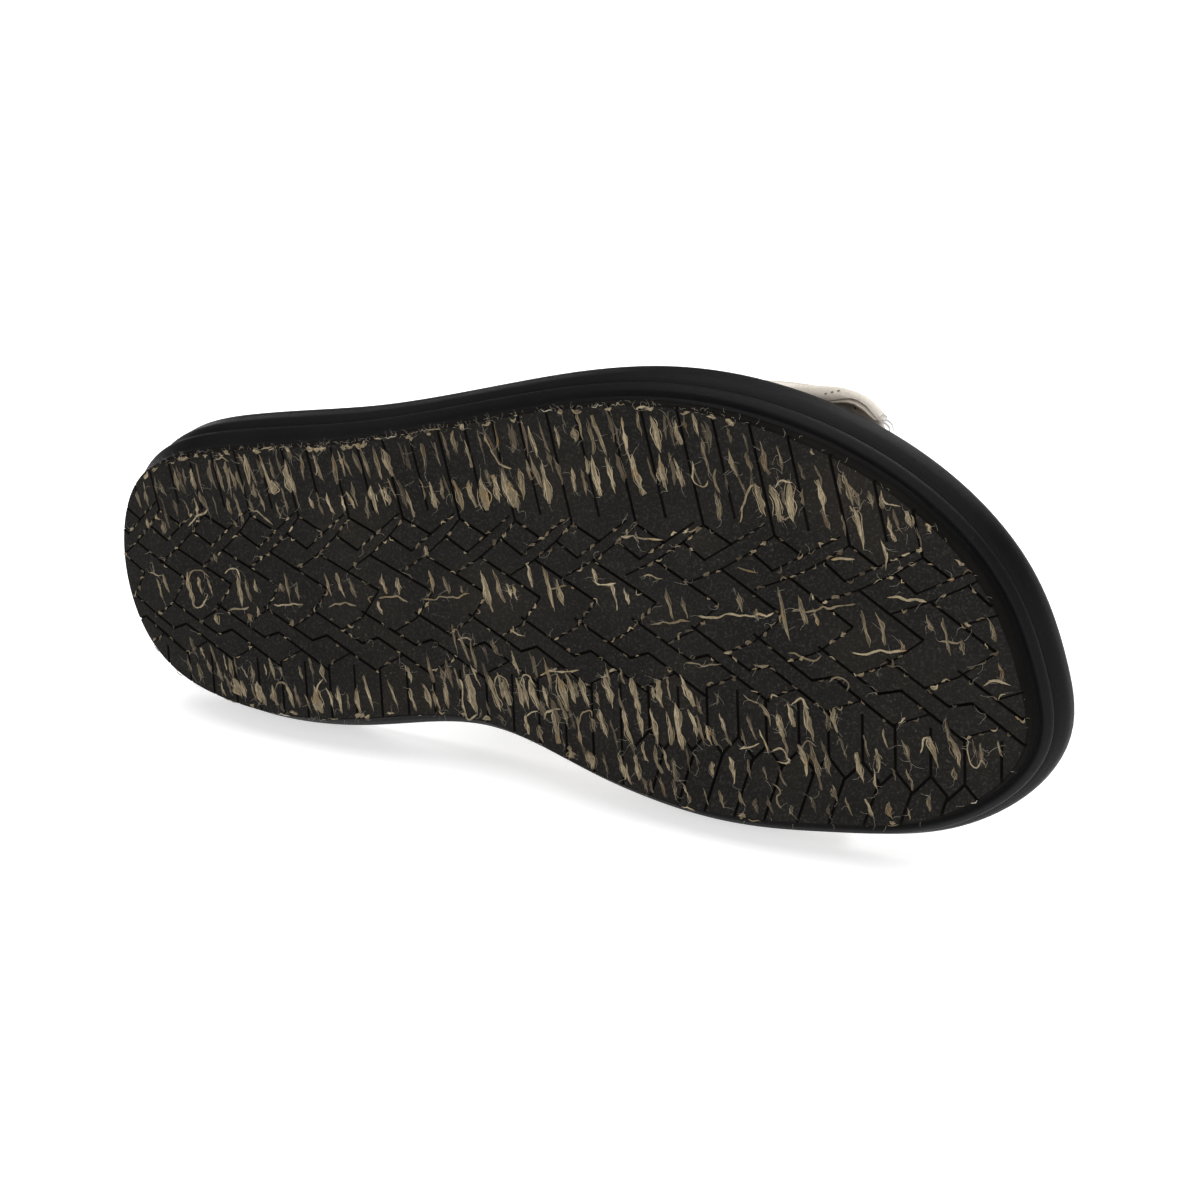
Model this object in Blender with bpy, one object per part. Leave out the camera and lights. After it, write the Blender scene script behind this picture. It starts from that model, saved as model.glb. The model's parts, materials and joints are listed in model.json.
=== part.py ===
"""Footbed slide sandal, right foot, lying on its medial side: sole edge and instep band both on the floor.

The pieces are modelled in the shoe's own frame, in millimetres: along (+x) runs from heel to toe, across (+y)
towards the medial side, up (+z) away from the ground that the sole would stand on. An empty then lays the
shoe down.
"""
from collections import namedtuple
from math import radians

import bmesh
import bpy
import numpy as np
from mathutils import Matrix, Vector

MM = 0.001
FIT = 0.3                    # clearance between pieces that meet

# Sole outline, at the tread's edge
Point = namedtuple("Point", "along across")
TREAD_OUTLINE = (
    Point(0.0, 0.0), Point(8.6, 22.7), Point(39.0, 36.6), Point(83.0, 34.6), Point(117.0, 29.9),
    Point(152.0, 37.2), Point(186.0, 42.4), Point(216.0, 40.1), Point(244.0, 33.6), Point(260.8, 14.5),
    Point(259.3, 0.6), Point(251.6, -19.2), Point(232.3, -39.8), Point(202.0, -53.8), Point(166.0, -57.3),
    Point(126.0, -50.4), Point(83.0, -40.9), Point(39.0, -34.6), Point(8.6, -22.7),
)
SPINE_START, SPINE_END = 36.0, 226.0
RING_POINTS = 88
INNER_SHARES = (0.86, 0.5, 0.15)   # rings inside the outline, as shares of the way out from the spine

# Sole heights above the ground
HEEL_BEVEL_END, HEEL_BEVEL_RISE = 28.0, 3.7
ARCH_START, ARCH_END, ARCH_RISE = 72.0, 158.0, 2.2
SPRING_START, SPRING_END, SPRING_RISE = 194.0, 262.0, 8.4
RIM_HEEL, RIM_TOE = 23.6, 14.6
SOLE_LENGTH = 262.0

# Outsole: a rubber sheet
OUTSOLE_THICK = 3.2
TREAD_CHAMFER = 0.5

# Sidewall of the two tiers. reach: past the tread's edge. share: of the rim's height. drop: below that height
Step = namedtuple("Step", "reach share drop")
MIDSOLE_TOP_SHARE = 0.5
MIDSOLE_SIDE = (
    Step(0.9, 0.0, -4.4), Step(2.3, 0.26, 0.0), Step(3.5, 0.32, 0.0), Step(3.9, 0.37, 0.0),
    Step(3.7, 0.43, 0.0),
)
GROOVE_REACH = 3.2
FOOTBED_SIDE = (
    Step(4.4, 0.56, 0.0), Step(5.5, 0.64, 0.0), Step(6.1, 1.0, 4.2), Step(6.4, 1.0, 2.6), Step(6.2, 1.0, 1.2),
    Step(5.5, 1.0, 0.3), Step(4.6, 1.0, 0.0), Step(3.2, 1.0, 0.5),
)

# Footbed top: the band's slot, then the dish
BAND_REACH = 1.0
BAND_THICK = 2.6
SLOT_TOP_DROP = 0.9
SLOT_DEPTH = 3.5
SLOT_FIT = 0.45
SLOT_WALL_SLOPE = 0.15
SLOT_START, SLOT_END = 114.0, 232.0
DISH_EDGE_REACH = -2.4
DISH_EDGE_DROP = 2.2
DISH_POWER = 2.2
Dish = namedtuple("Dish", "along depth")
DISH_DEPTHS = (Dish(0.0, 5.0), Dish(60.0, 4.6), Dish(120.0, 2.6), Dish(180.0, 2.2), Dish(262.0, 1.2))
INSOLE_THICK = 1.5
INSOLE_EDGE_REACH = -2.9

# Instep band. base: where it leaves its slot. lean: towards the heel as it rises. rise, crown: how far the
# section runs on straight, up from the slot and across from the ridge, before it rounds the shoulder.
# flare: how far the shoulder is pushed outwards from over the slot
Side = namedtuple("Side", "base lean rise crown flare")
Edge = namedtuple("Edge", "medial lateral ridge_along ridge_up")
BAND_FRONT = Edge(Side(220.0, 0.42, 40.0, 38.0, 0.0), Side(223.0, 0.42, 46.0, 49.0, 6.0), 158.0, 67.0)
BAND_REAR = Edge(Side(134.0, 0.25, 44.0, 38.0, 0.0), Side(128.0, 0.25, 44.0, 36.0, -14.0), 113.0, 79.0)
RIDGE_ACROSS = -2.0
HALF_COLUMNS, BAND_ROWS = 19, 11
ROLL_SHARE = 0.05            # the folded front and rear edges, as a share of the band's width
ROLL_SWELL = 0.5
PLAIN_SHARE = 0.08           # the foot of each side, which stays plain to enter its slot
SEAMS = (0.34, 0.58)         # where a panel laps over the one below it, as shares of the way up to the ridge
SEAM_STEP = 0.6
SEAM_WIDTH = 0.006

COLOURS = {                  # base colour, roughness
    "outsole": ((0.020, 0.018, 0.016), 0.85),
    "midsole": ((0.012, 0.011, 0.012), 0.50),
    "footbed": ((0.014, 0.013, 0.014), 0.50),
    "insole": ((0.030, 0.026, 0.022), 0.90),
    "upper": ((0.560, 0.500, 0.410), 0.80),
}


def evenly_spaced(curve, count):
    """The closed polyline again, with count points at equal distances along it."""
    closed = np.vstack([curve, curve[:1]])
    travelled = np.concatenate([[0.0], np.cumsum(np.linalg.norm(np.diff(closed, axis=0), axis=1))])
    wanted = np.linspace(0.0, travelled[-1], count, endpoint=False)
    return np.column_stack([np.interp(wanted, travelled, closed[:, axis]) for axis in range(2)])


def closed_spline(points, count, pieces=40):
    """Evenly spaced points on the smooth closed curve (periodic cubic) through the given ones."""
    points = np.asarray(points, dtype=float)
    total = len(points)
    steps = np.linalg.norm(np.roll(points, -1, axis=0) - points, axis=1)
    system = np.zeros((total, total))
    turn = np.zeros((total, 2))
    for i in range(total):
        after = (i + 1) % total
        system[i, i - 1] += steps[i - 1] / 6.0
        system[i, i] += (steps[i - 1] + steps[i]) / 3.0
        system[i, after] += steps[i] / 6.0
        turn[i] = (points[after] - points[i]) / steps[i] - (points[i] - points[i - 1]) / steps[i - 1]
    bend = np.linalg.solve(system, turn)
    share = np.linspace(0.0, 1.0, pieces, endpoint=False)[:, None]
    rest = 1.0 - share
    spans = []
    for i in range(total):
        after = (i + 1) % total
        cubic = (rest ** 3 - rest) * bend[i] + (share ** 3 - share) * bend[after]
        spans.append(rest * points[i] + share * points[after] + steps[i] ** 2 / 6.0 * cubic)
    return evenly_spaced(np.vstack(spans), count)


def outline(reach, count=RING_POINTS):
    """The sole's outline in plan, moved outwards by reach."""
    curve = closed_spline(TREAD_OUTLINE, count)
    travel = np.roll(curve, -1, axis=0) - np.roll(curve, 1, axis=0)
    outwards = np.column_stack([-travel[:, 1], travel[:, 0]])
    return curve + reach * outwards / np.linalg.norm(outwards, axis=1, keepdims=True)


def edge_across(along, medial, reach):
    """How far across the outline lies at a place along the sole, on the medial or the lateral side."""
    curve = outline(reach, count=720)
    toe = int(curve[:, 0].argmax())
    heel = int(curve[:, 0].argmin())
    order = np.roll(np.arange(len(curve)), -heel)
    split = int(np.where(order == toe)[0][0])
    side = curve[order[:split + 1]] if medial else curve[order[split:]][::-1]
    return np.interp(along, side[:, 0], side[:, 1])


def spine_points(curve):
    """For each point of the outline, the point of the sole's middle line that it shrinks towards."""
    along = np.clip(curve[:, 0], SPINE_START, SPINE_END)
    middle = (edge_across(along, True, 0.0) + edge_across(along, False, 0.0)) / 2.0
    return np.column_stack([along, middle])


def inner_ring(share):
    """The outline shrunk towards the spine."""
    curve = outline(0.0)
    spine = spine_points(curve)
    return spine + share * (curve - spine)


def ground_clearance(along):
    """Height of the sole's underside: flat at heel and forefoot, raised behind the heel, at arch and toe."""
    bevel = np.clip((HEEL_BEVEL_END - along) / HEEL_BEVEL_END, 0.0, None) ** 2 * HEEL_BEVEL_RISE
    arch_share = np.clip((along - ARCH_START) / (ARCH_END - ARCH_START), 0.0, 1.0)
    arch = np.sin(np.pi * arch_share) ** 2 * ARCH_RISE
    spring_share = np.clip((along - SPRING_START) / (SPRING_END - SPRING_START), 0.0, None)
    return bevel + arch + spring_share ** 1.8 * SPRING_RISE


def rim_height(along):
    """Height of the rim above the sole's underside."""
    return RIM_HEEL + (RIM_TOE - RIM_HEEL) * np.clip(along / SOLE_LENGTH, 0.0, 1.0)


def dish_depth(along):
    """How far the dish's middle lies below its edge."""
    table = np.array(DISH_DEPTHS)
    return np.interp(along, table[:, 0], table[:, 1])


def at_height(plan, share=0.0, drop=0.0):
    """A plan ring raised to a share of the rim's height, less a drop."""
    along = plan[:, 0]
    return np.column_stack([plan, ground_clearance(along) + share * rim_height(along) - drop])


def side_rings(steps):
    """The rings of a sidewall, from its table of steps."""
    return [at_height(outline(step.reach), step.share, step.drop) for step in steps]


def flat_cap(share=0.0, drop=0.0, inwards=True):
    """Rings that close a layer over its spine."""
    shares = INNER_SHARES if inwards else INNER_SHARES[::-1]
    return [at_height(inner_ring(inner), share, drop) for inner in shares]


def dish_floor(plan, share, lift):
    """A plan ring laid on the dish, share of the way out from its middle, raised by lift."""
    along = plan[:, 0]
    drop = DISH_EDGE_DROP + dish_depth(along) * (1.0 - share ** DISH_POWER) - lift
    return np.column_stack([plan, ground_clearance(along) + rim_height(along) - drop])


def dish_cap(lift, inwards=True):
    """Rings that close a layer over the dish."""
    shares = INNER_SHARES if inwards else INNER_SHARES[::-1]
    return [dish_floor(inner_ring(share), share, lift) for share in shares]


def material(name):
    """A plain finish in the piece's colour."""
    colour, roughness = COLOURS[name]
    finish = bpy.data.materials.new(name)
    finish.use_nodes = True
    shader = finish.node_tree.nodes["Principled BSDF"]
    shader.inputs["Base Color"].default_value = (*colour, 1.0)
    shader.inputs["Roughness"].default_value = roughness
    return finish


def add_piece(name, form, collection):
    """An object from a finished bmesh in millimetres."""
    bmesh.ops.scale(form, vec=(MM, MM, MM), verts=form.verts)
    bmesh.ops.triangulate(form, faces=form.faces)
    bmesh.ops.recalc_face_normals(form, faces=form.faces)
    mesh = bpy.data.meshes.new(name)
    form.to_mesh(mesh)
    form.free()
    mesh.materials.append(material(name))
    mesh.shade_smooth()
    mesh.set_sharp_from_angle(angle=radians(40.0))
    piece = bpy.data.objects.new(name, mesh)
    collection.objects.link(piece)
    return piece


def loft(name, rings, collection):
    """A closed solid through rings of equal count, its two ends filled."""
    form = bmesh.new()
    loops = [[form.verts.new(point) for point in ring] for ring in rings]
    for lower, upper in zip(loops, loops[1:]):
        for i in range(len(lower)):
            after = (i + 1) % len(lower)
            form.faces.new((lower[i], lower[after], upper[after], upper[i]))
    form.faces.new(loops[0])
    form.faces.new(loops[-1])
    return add_piece(name, form, collection)


def build_outsole(collection):
    """The rubber sheet under the sole, with a small chamfer round the tread."""
    rings = flat_cap(inwards=False)
    rings.append(at_height(outline(-TREAD_CHAMFER)))
    rings.append(at_height(outline(0.0), drop=-TREAD_CHAMFER))
    rings.append(at_height(outline(MIDSOLE_SIDE[0].reach - TREAD_CHAMFER), drop=-OUTSOLE_THICK))
    rings += flat_cap(drop=-OUTSOLE_THICK)
    return loft("outsole", rings, collection)


def build_midsole(collection):
    """The lower tier: undercut above the tread, a rounded crest, then the groove."""
    bottom = OUTSOLE_THICK + FIT
    rings = flat_cap(drop=-bottom, inwards=False)
    rings.append(at_height(outline(MIDSOLE_SIDE[0].reach - TREAD_CHAMFER), drop=-bottom))
    rings += side_rings(MIDSOLE_SIDE)
    rings.append(at_height(outline(GROOVE_REACH), MIDSOLE_TOP_SHARE, FIT / 2.0))
    rings += flat_cap(MIDSOLE_TOP_SHARE, FIT / 2.0)
    return loft("midsole", rings, collection)


def slot_ring(reach, drop, floor_drop):
    """A ring of the footbed's top that dips to the slot's floor along the band's two ends."""
    plan = outline(reach)
    in_slot = (plan[:, 0] > SLOT_START) & (plan[:, 0] < SLOT_END)
    along = plan[:, 0]
    drops = np.where(in_slot, floor_drop, drop)
    return np.column_stack([plan, ground_clearance(along) + rim_height(along) - drops])


def build_footbed(collection):
    """The upper tier: groove, rounded rim, the two slots for the band, and the dished top."""
    rings = flat_cap(MIDSOLE_TOP_SHARE, -FIT / 2.0, inwards=False)
    rings.append(at_height(outline(GROOVE_REACH), MIDSOLE_TOP_SHARE, -FIT / 2.0))
    rings += side_rings(FOOTBED_SIDE)
    half_slot = BAND_THICK / 2.0 + SLOT_FIT
    outer, inner = BAND_REACH + half_slot, BAND_REACH - half_slot
    floor_drop = SLOT_TOP_DROP + SLOT_DEPTH
    inner_drop = (SLOT_TOP_DROP + DISH_EDGE_DROP) / 2.0
    rings.append(slot_ring(outer + SLOT_WALL_SLOPE, SLOT_TOP_DROP, SLOT_TOP_DROP))
    rings.append(slot_ring(outer, SLOT_TOP_DROP, floor_drop))
    rings.append(slot_ring(inner, inner_drop, floor_drop))
    rings.append(slot_ring(inner - SLOT_WALL_SLOPE, inner_drop, inner_drop))
    rings.append(dish_floor(outline(DISH_EDGE_REACH), 1.0, 0.0))
    rings += dish_cap(0.0)
    return loft("footbed", rings, collection)


def build_insole(collection):
    """The sock cover that lines the dish inside the rim."""
    lower, upper = FIT, FIT + INSOLE_THICK
    edge = outline(INSOLE_EDGE_REACH)
    rings = dish_cap(lower, inwards=False)
    rings.append(dish_floor(edge, 1.0, lower))
    rings.append(dish_floor(edge, 1.0, upper - TREAD_CHAMFER))
    rings.append(dish_floor(outline(INSOLE_EDGE_REACH - TREAD_CHAMFER), 1.0, upper))
    rings += dish_cap(upper)
    return loft("insole", rings, collection)


def between(front, rear, share):
    """A band size part of the way from the front edge to the rear one."""
    return front + (rear - front) * share


def side_curve(medial, width_share, stations):
    """Points up one side of the band, from the slot's floor to the ridge, on its middle surface."""
    front, rear = (BAND_FRONT.medial, BAND_REAR.medial) if medial else (BAND_FRONT.lateral, BAND_REAR.lateral)
    base, lean, rise, crown, flare = (between(a, b, width_share) for a, b in zip(front, rear))
    ridge_along = between(BAND_FRONT.ridge_along, BAND_REAR.ridge_along, width_share)
    ridge_up = between(BAND_FRONT.ridge_up, BAND_REAR.ridge_up, width_share)
    slot_top = ground_clearance(base) + rim_height(base) - SLOT_TOP_DROP
    shoulder_along = base - lean * rise
    towards = 1.0 if medial else -1.0
    foot = np.array([base, edge_across(base, medial, BAND_REACH), slot_top])
    shoulder_across = edge_across(shoulder_along, medial, BAND_REACH) + towards * flare
    handle_up = np.array([shoulder_along, shoulder_across, slot_top + rise])
    handle_across = np.array([ridge_along, RIDGE_ACROSS + towards * crown, ridge_up])
    ridge = np.array([ridge_along, RIDGE_ACROSS, ridge_up])
    t = np.array(stations)[:, None]
    rest = 1.0 - t
    curve = rest ** 3 * foot + t ** 3 * ridge
    curve += 3 * t * rest * (rest * handle_up + t * handle_across)
    slot_floor = foot - (0.0, 0.0, SLOT_DEPTH - FIT)
    return np.vstack([slot_floor, curve])


def side_stations():
    """Shares of the way up one side, with a close pair at each seam."""
    even = [i / HALF_COLUMNS for i in range(HALF_COLUMNS + 1)]
    kept = [share for share in even if min(abs(share - seam) for seam in SEAMS) > 0.6 / HALF_COLUMNS]
    pairs = [seam + offset for seam in SEAMS for offset in (-SEAM_WIDTH, SEAM_WIDTH)]
    return sorted(kept + pairs)


def band_rows():
    """Shares of the band's width, with close pairs at the folded edges."""
    middle = np.linspace(ROLL_SHARE, 1.0 - ROLL_SHARE, BAND_ROWS)
    return [0.0, 0.7 * ROLL_SHARE, *(float(row) for row in middle), 1.0 - 0.7 * ROLL_SHARE, 1.0]


def band_swell(up_share, width_share):
    """What the outer face gains at the folded front and rear edges."""
    from_edge = min(width_share, 1.0 - width_share)
    return ROLL_SWELL if from_edge < ROLL_SHARE and up_share > PLAIN_SHARE else 0.0


def band_lap(up_share):
    """How far outwards the wall lies: one step for each panel that laps over the one below."""
    return SEAM_STEP * sum(1 for seam in SEAMS if up_share > seam)


def build_upper(collection):
    """The instep band: one wall from slot to slot, open to toe and heel, with folded edges, lapped panels."""
    stations, rows = side_stations(), band_rows()
    columns = [0.0, *stations, *stations[-2::-1], 0.0]
    surface = np.array([
        np.vstack([side_curve(True, row, stations), side_curve(False, row, stations)[-2::-1]]) for row in rows
    ])
    normals = np.cross(np.gradient(surface, axis=0), np.gradient(surface, axis=1))
    normals /= np.linalg.norm(normals, axis=2, keepdims=True)
    surface += normals * np.array([band_lap(column) for column in columns])[:, None]
    swell = np.array([[band_swell(column, row) for column in columns] for row in rows])
    half = BAND_THICK / 2.0
    outer = surface + normals * (half + swell)[..., None]
    inner = surface - normals * half
    nose = half * 0.8
    forward = surface[0] - surface[1]
    backward = surface[-1] - surface[-2]
    front_nose = surface[0] + nose * forward / np.linalg.norm(forward, axis=1, keepdims=True)
    rear_nose = surface[-1] + nose * backward / np.linalg.norm(backward, axis=1, keepdims=True)
    loops = [front_nose, *outer, rear_nose, *inner[::-1]]
    form = bmesh.new()
    grid = [[form.verts.new(point) for point in line] for line in loops]
    for line, following in zip(grid, grid[1:] + grid[:1]):
        for i in range(len(columns) - 1):
            form.faces.new((line[i], line[i + 1], following[i + 1], following[i]))
    form.faces.new([line[0] for line in grid])
    form.faces.new([line[-1] for line in grid])
    return add_piece("upper", form, collection)


def points_of(pieces):
    """All the vertices of some pieces, in the shoe's frame."""
    return np.array([vertex.co[:] for piece in pieces for vertex in piece.data.vertices])


def floor_normal(sole, upper):
    """The upward direction, in the shoe's frame, of the floor under the medial side: a plane on three points.

    The points are the lowest of the sole's heel half, of its toe half and of the band.
    """
    sole_points = points_of(sole)
    halfway = SOLE_LENGTH / 2.0 * MM
    behind = sole_points[:, 0] < halfway
    groups = (sole_points[behind], sole_points[~behind], points_of([upper]))
    up = np.array([0.0, -1.0, 0.0])
    for _ in range(30):
        heel, ball, band = (group[(group @ up).argmin()] for group in groups)
        plane = np.cross(ball - heel, band - heel)
        plane *= -np.sign(plane[1]) / np.linalg.norm(plane)
        if np.allclose(plane, up):
            break
        up = plane
    return up


def lay_down(pieces, sole, upper):
    """Parents the pieces to an empty that puts the medial side on the floor, centred over the origin."""
    up = Vector(floor_normal(sole, upper))
    ahead = Vector((1.0, 0.0, 0.0))
    ahead = (ahead - up * ahead.dot(up)).normalized()
    turn = Matrix((ahead, up.cross(ahead), up)).to_4x4()
    placed = points_of(pieces) @ np.array(turn.to_3x3()).T
    low, high = placed.min(axis=0), placed.max(axis=0)
    carrier = bpy.data.objects.new("laid_on_side", None)
    middle = (low + high) / 2.0
    carrier.matrix_world = Matrix.Translation((-middle[0], -middle[1], -low[2])) @ turn
    for piece in pieces:
        piece.parent = carrier
    return carrier


def main():
    """Clears the scene and builds the sandal."""
    for existing in list(bpy.data.objects):
        bpy.data.objects.remove(existing)
    sandal = bpy.data.collections.new("footbed_sandal")
    bpy.context.scene.collection.children.link(sandal)
    outsole = build_outsole(sandal)
    midsole = build_midsole(sandal)
    footbed = build_footbed(sandal)
    insole = build_insole(sandal)
    upper = build_upper(sandal)
    sole = [outsole, midsole, footbed]
    carrier = lay_down([*sole, insole, upper], sole, upper)
    sandal.objects.link(carrier)


main()
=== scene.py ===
"""The footbed slide sandal as it looks: worn tread with yarn in it, satin sidewalls and a nubuck band.

Pieces are modelled in the shoe's own frame in millimetres, along from heel to toe, across towards the
medial side and up from the ground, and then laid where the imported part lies.
"""
import json
import math
from collections import namedtuple

import bmesh
import bpy
import numpy as np
from mathutils import Matrix, Vector
from mathutils.geometry import delaunay_2d_cdt


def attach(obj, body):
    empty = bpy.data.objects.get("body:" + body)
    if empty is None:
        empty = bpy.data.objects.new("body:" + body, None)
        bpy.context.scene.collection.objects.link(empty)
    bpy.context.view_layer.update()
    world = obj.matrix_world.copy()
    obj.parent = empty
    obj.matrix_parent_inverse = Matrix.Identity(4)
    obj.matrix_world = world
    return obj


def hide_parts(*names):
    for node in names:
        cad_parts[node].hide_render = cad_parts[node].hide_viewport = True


MM = 0.001
UP = np.array([0.0, 0.0, 1.0])
TINY = 1e-9                  # keeps a division from failing
WELD = 2e-6                  # metres
chance = np.random.default_rng(seed=41)

# The flat spots of the tread that the record names, in the shoe's frame
HEEL_REST = (61.468, 23.151)
FOREFOOT_REST = (182.846, 23.396)

# Sole outline, at the tread's edge
Point = namedtuple("Point", "along across")
TREAD_OUTLINE = (
    Point(0.0, 0.0), Point(8.6, 22.7), Point(39.0, 36.6), Point(83.0, 34.6), Point(117.0, 29.9),
    Point(152.0, 37.2), Point(186.0, 42.4), Point(216.0, 40.1), Point(244.0, 33.6), Point(260.8, 14.5),
    Point(259.3, 0.6), Point(251.6, -19.2), Point(232.3, -39.8), Point(202.0, -53.8), Point(166.0, -57.3),
    Point(126.0, -50.4), Point(83.0, -40.9), Point(39.0, -34.6), Point(8.6, -22.7),
)
SPLINE_PIECES = 60           # from each of these points to the next
SIDE_POINTS, COARSE_POINTS, FINE_POINTS = 300, 120, 1440
SPINE_START, SPINE_END = 36.0, 226.0
INNER_SHARES = (0.9, 0.72, 0.5, 0.3, 0.12)

# Sole heights above the ground
HEEL_BEVEL_END, HEEL_BEVEL_RISE = 28.0, 3.7
ARCH_START, ARCH_END, ARCH_RISE = 72.0, 158.0, 2.2
SPRING_START, SPRING_END, SPRING_RISE, SPRING_POWER = 194.0, 262.0, 8.4, 1.8
RIM_HEEL, RIM_TOE = 23.6, 14.6
SOLE_LENGTH = 262.0
OUTSOLE_THICK = 3.2
TREAD_CHAMFER, EDGE_FLARE = 0.5, 0.4
JOINT = 0.15                 # half of the line between two tiers

# Sidewall of the two tiers. reach: past the tread's edge. share: of the rim's height. drop: below that height
Step = namedtuple("Step", "reach share drop")
TIER_LINE = 0.5
LOWER_TIER = (
    Step(0.4, 0.0, -3.35), Step(0.9, 0.0, -4.4), Step(2.3, 0.26, 0.0), Step(3.5, 0.32, 0.0),
    Step(3.9, 0.37, 0.0), Step(3.7, 0.43, 0.0), Step(3.2, TIER_LINE, JOINT),
)
RIM_TIER = (
    Step(3.2, TIER_LINE, -JOINT), Step(4.4, 0.56, 0.0), Step(5.5, 0.64, 0.0), Step(6.1, 1.0, 4.2),
    Step(6.4, 1.0, 2.6), Step(6.2, 1.0, 1.2), Step(5.5, 1.0, 0.3), Step(4.6, 1.0, 0.0), Step(3.2, 1.0, 0.5),
    Step(2.9, 1.0, 0.9),
)
RIM_INSIDE = (Step(-0.8, 1.0, 1.55), Step(-2.4, 1.0, 2.2))
SLOT_TOP_DROP = 0.9
SLOT_DEPTH = 3.5
DISH_EDGE_DROP = 2.2
DISH_POWER = 2.2
Dish = namedtuple("Dish", "along depth")
DISH_DEPTHS = (Dish(0.0, 5.0), Dish(60.0, 4.6), Dish(120.0, 2.6), Dish(180.0, 2.2), Dish(262.0, 1.2))
SOCK_LIFT, SOCK_THICK, SOCK_EDGE = 0.3, 1.5, -2.9
SOCK_ROUND = ((0.0, 0.6), (-0.12, 0.9), (-0.4, 1.35), (-0.8, 1.5))  # its rounded edge: reach and lift

# Degrees between faces, past which an edge looks sharp
LOFT_SHARP, TREAD_SHARP, YARN_SHARP, BAND_SHARP, LIP_SHARP = 50.0, 28.0, 60.0, 45.0, 60.0

# Tread grooves: a lattice of cells along the sole. turn in degrees. fan: how far the lateral side runs ahead
Anchor = namedtuple("Anchor", "along across turn fan")
LATTICE = (
    Anchor(-30.0, 11.5, 0.0, -4.3), Anchor(20.0, 10.0, 0.0, -4.3), Anchor(84.0, 4.5, 0.0, -4.3),
    Anchor(132.0, 0.0, 0.5, -2.4), Anchor(165.0, -4.5, 3.0, 0.0), Anchor(198.0, -5.0, 8.0, 1.8),
    Anchor(246.0, -1.5, 10.5, 2.0), Anchor(300.0, 1.0, 11.0, 2.0),
)
CELL = 16.1
FIRST_CELL = 20.0
CELLS = range(-3, 16)
CELL_GROOVES = (             # ahead and aside of the cell's anchor
    ((0.0, 0.0), (15.6, 7.3), (20.4, 5.2), (36.6, 13.6)),
    ((9.4, 4.4), (16.1, 0.0), (22.5, -7.6)),
    ((5.6, -15.7), (22.4, -7.9)),
    ((-2.1, -10.8), (5.6, -15.7), (12.6, -21.4), (17.7, -26.5)),
    ((12.6, -21.4), (18.4, -18.0)),
    ((17.7, -26.5), (25.0, -23.0)),
    ((18.4, -18.0), (25.0, -23.0), (33.0, -29.0)),
    ((20.5, 13.6), (27.3, 9.4)),
)
LATERAL_STARTS = ((17.7, -26.5), (25.6, -29.5))
MEDIAL_STARTS = ((20.5, 13.6), (28.6, 12.6))
LATERAL_SPAN, MEDIAL_SPAN = (4.0, 250.0), (12.0, 258.0)  # where such starts have a groove, along the sole
LATERAL_LEAN, MEDIAL_LEAN, FORK_LEAN = 0.27, -0.02, 0.34
FORK_FROM = 166.0            # beyond this the medial grooves fork before the edge
FORK, KNEE, PRONG = (0.4, 11.5), (3.9, 4.6), (-4.0, 4.6)  # from the start to the fork, and its two arms
FAN_WIDTH, FAN_LIMIT = 27.0, 1.1
EDGE_TRIES, EDGE_OVERRUN = 6, 1.5
Cut = namedtuple("Cut", "top floor depth")
CLEAR_CUT = Cut(0.72, 0.36, 0.9)
WORN_CUT = Cut(0.5, 0.2, 0.45)
BEADED_GROOVES = (1, 3, 6, 7)  # of a cell's grooves, those worn shallow with ends of yarn strung along them
TREAD_RING = 360
TREAD_GRID, GRID_INSET = 5.0, 3.0
SNAP = 1e-4
SHADE_DEPTH = 0.06            # deeper than this the rubber is painted darker as shade
NOTCH = 0.05                 # how far the edge's bevel runs past a groove's floor
GROOVE_SHADE = 1              # of the tread's two finishes: the darker one, painted shade in the grooves, also on the edge and top

# Yarn in the tread. Rows of dull tufts run along an edge. inset: from the edge. pitch: between tufts
Row = namedtuple("Row", "medial inset start end pitch length width")
YARN_ROWS = (
    Row(False, 5.5, 10.0, 95.0, 3.4, 7.5, 1.1), Row(False, 5.5, 95.0, 186.0, 2.7, 8.0, 1.2),
    Row(False, 5.5, 186.0, 238.0, 4.5, 6.0, 0.9), Row(False, 15.0, 12.0, 95.0, 3.8, 6.5, 1.0),
    Row(False, 15.0, 95.0, 200.0, 2.9, 7.5, 1.2), Row(False, 15.0, 200.0, 228.0, 4.6, 6.5, 1.0),
    Row(True, 4.5, 24.0, 72.0, 3.2, 6.0, 1.1), Row(True, 11.5, 26.0, 58.0, 3.6, 5.0, 1.0),
    Row(True, 6.5, 72.0, 106.0, 6.5, 7.0, 1.0), Row(True, 4.0, 106.0, 180.0, 3.2, 5.5, 1.1),
    Row(True, 4.0, 180.0, 242.0, 4.6, 4.5, 0.9), Row(True, 12.0, 104.0, 182.0, 2.9, 7.5, 1.3),
    Row(True, 12.0, 182.0, 250.0, 4.5, 5.5, 1.0), Row(True, 20.5, 112.0, 186.0, 3.1, 7.5, 1.2),
    Row(True, 20.5, 186.0, 246.0, 4.8, 5.5, 1.0), Row(True, 28.5, 158.0, 190.0, 4.2, 5.0, 1.0),
)
YARN_LEAN = 16.0             # degrees, towards the toe on the way to the medial side
YARN_EDGE_INSET = 1.0
BRIGHT, DULL, SOILED, PALE = range(4)  # the yarn's tones
ROW_TONES = (0.14, 0.42, 0.44)  # shares of bright, dull and soiled tufts
ROW_ROOM = (1.3, 4.0)        # along and across, that a row leaves round a full tuft
MIDFOOT_START, MIDFOOT_END = 75.0, 185.0
MIDFOOT_DULL, END_DULL = 0.4, 0.75  # shares of the narrow tufts that are dull
FULL_WIDTH = 1.5             # a tuft this wide is worn open and bright
Tuft = namedtuple("Tuft", "along across length width")
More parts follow.
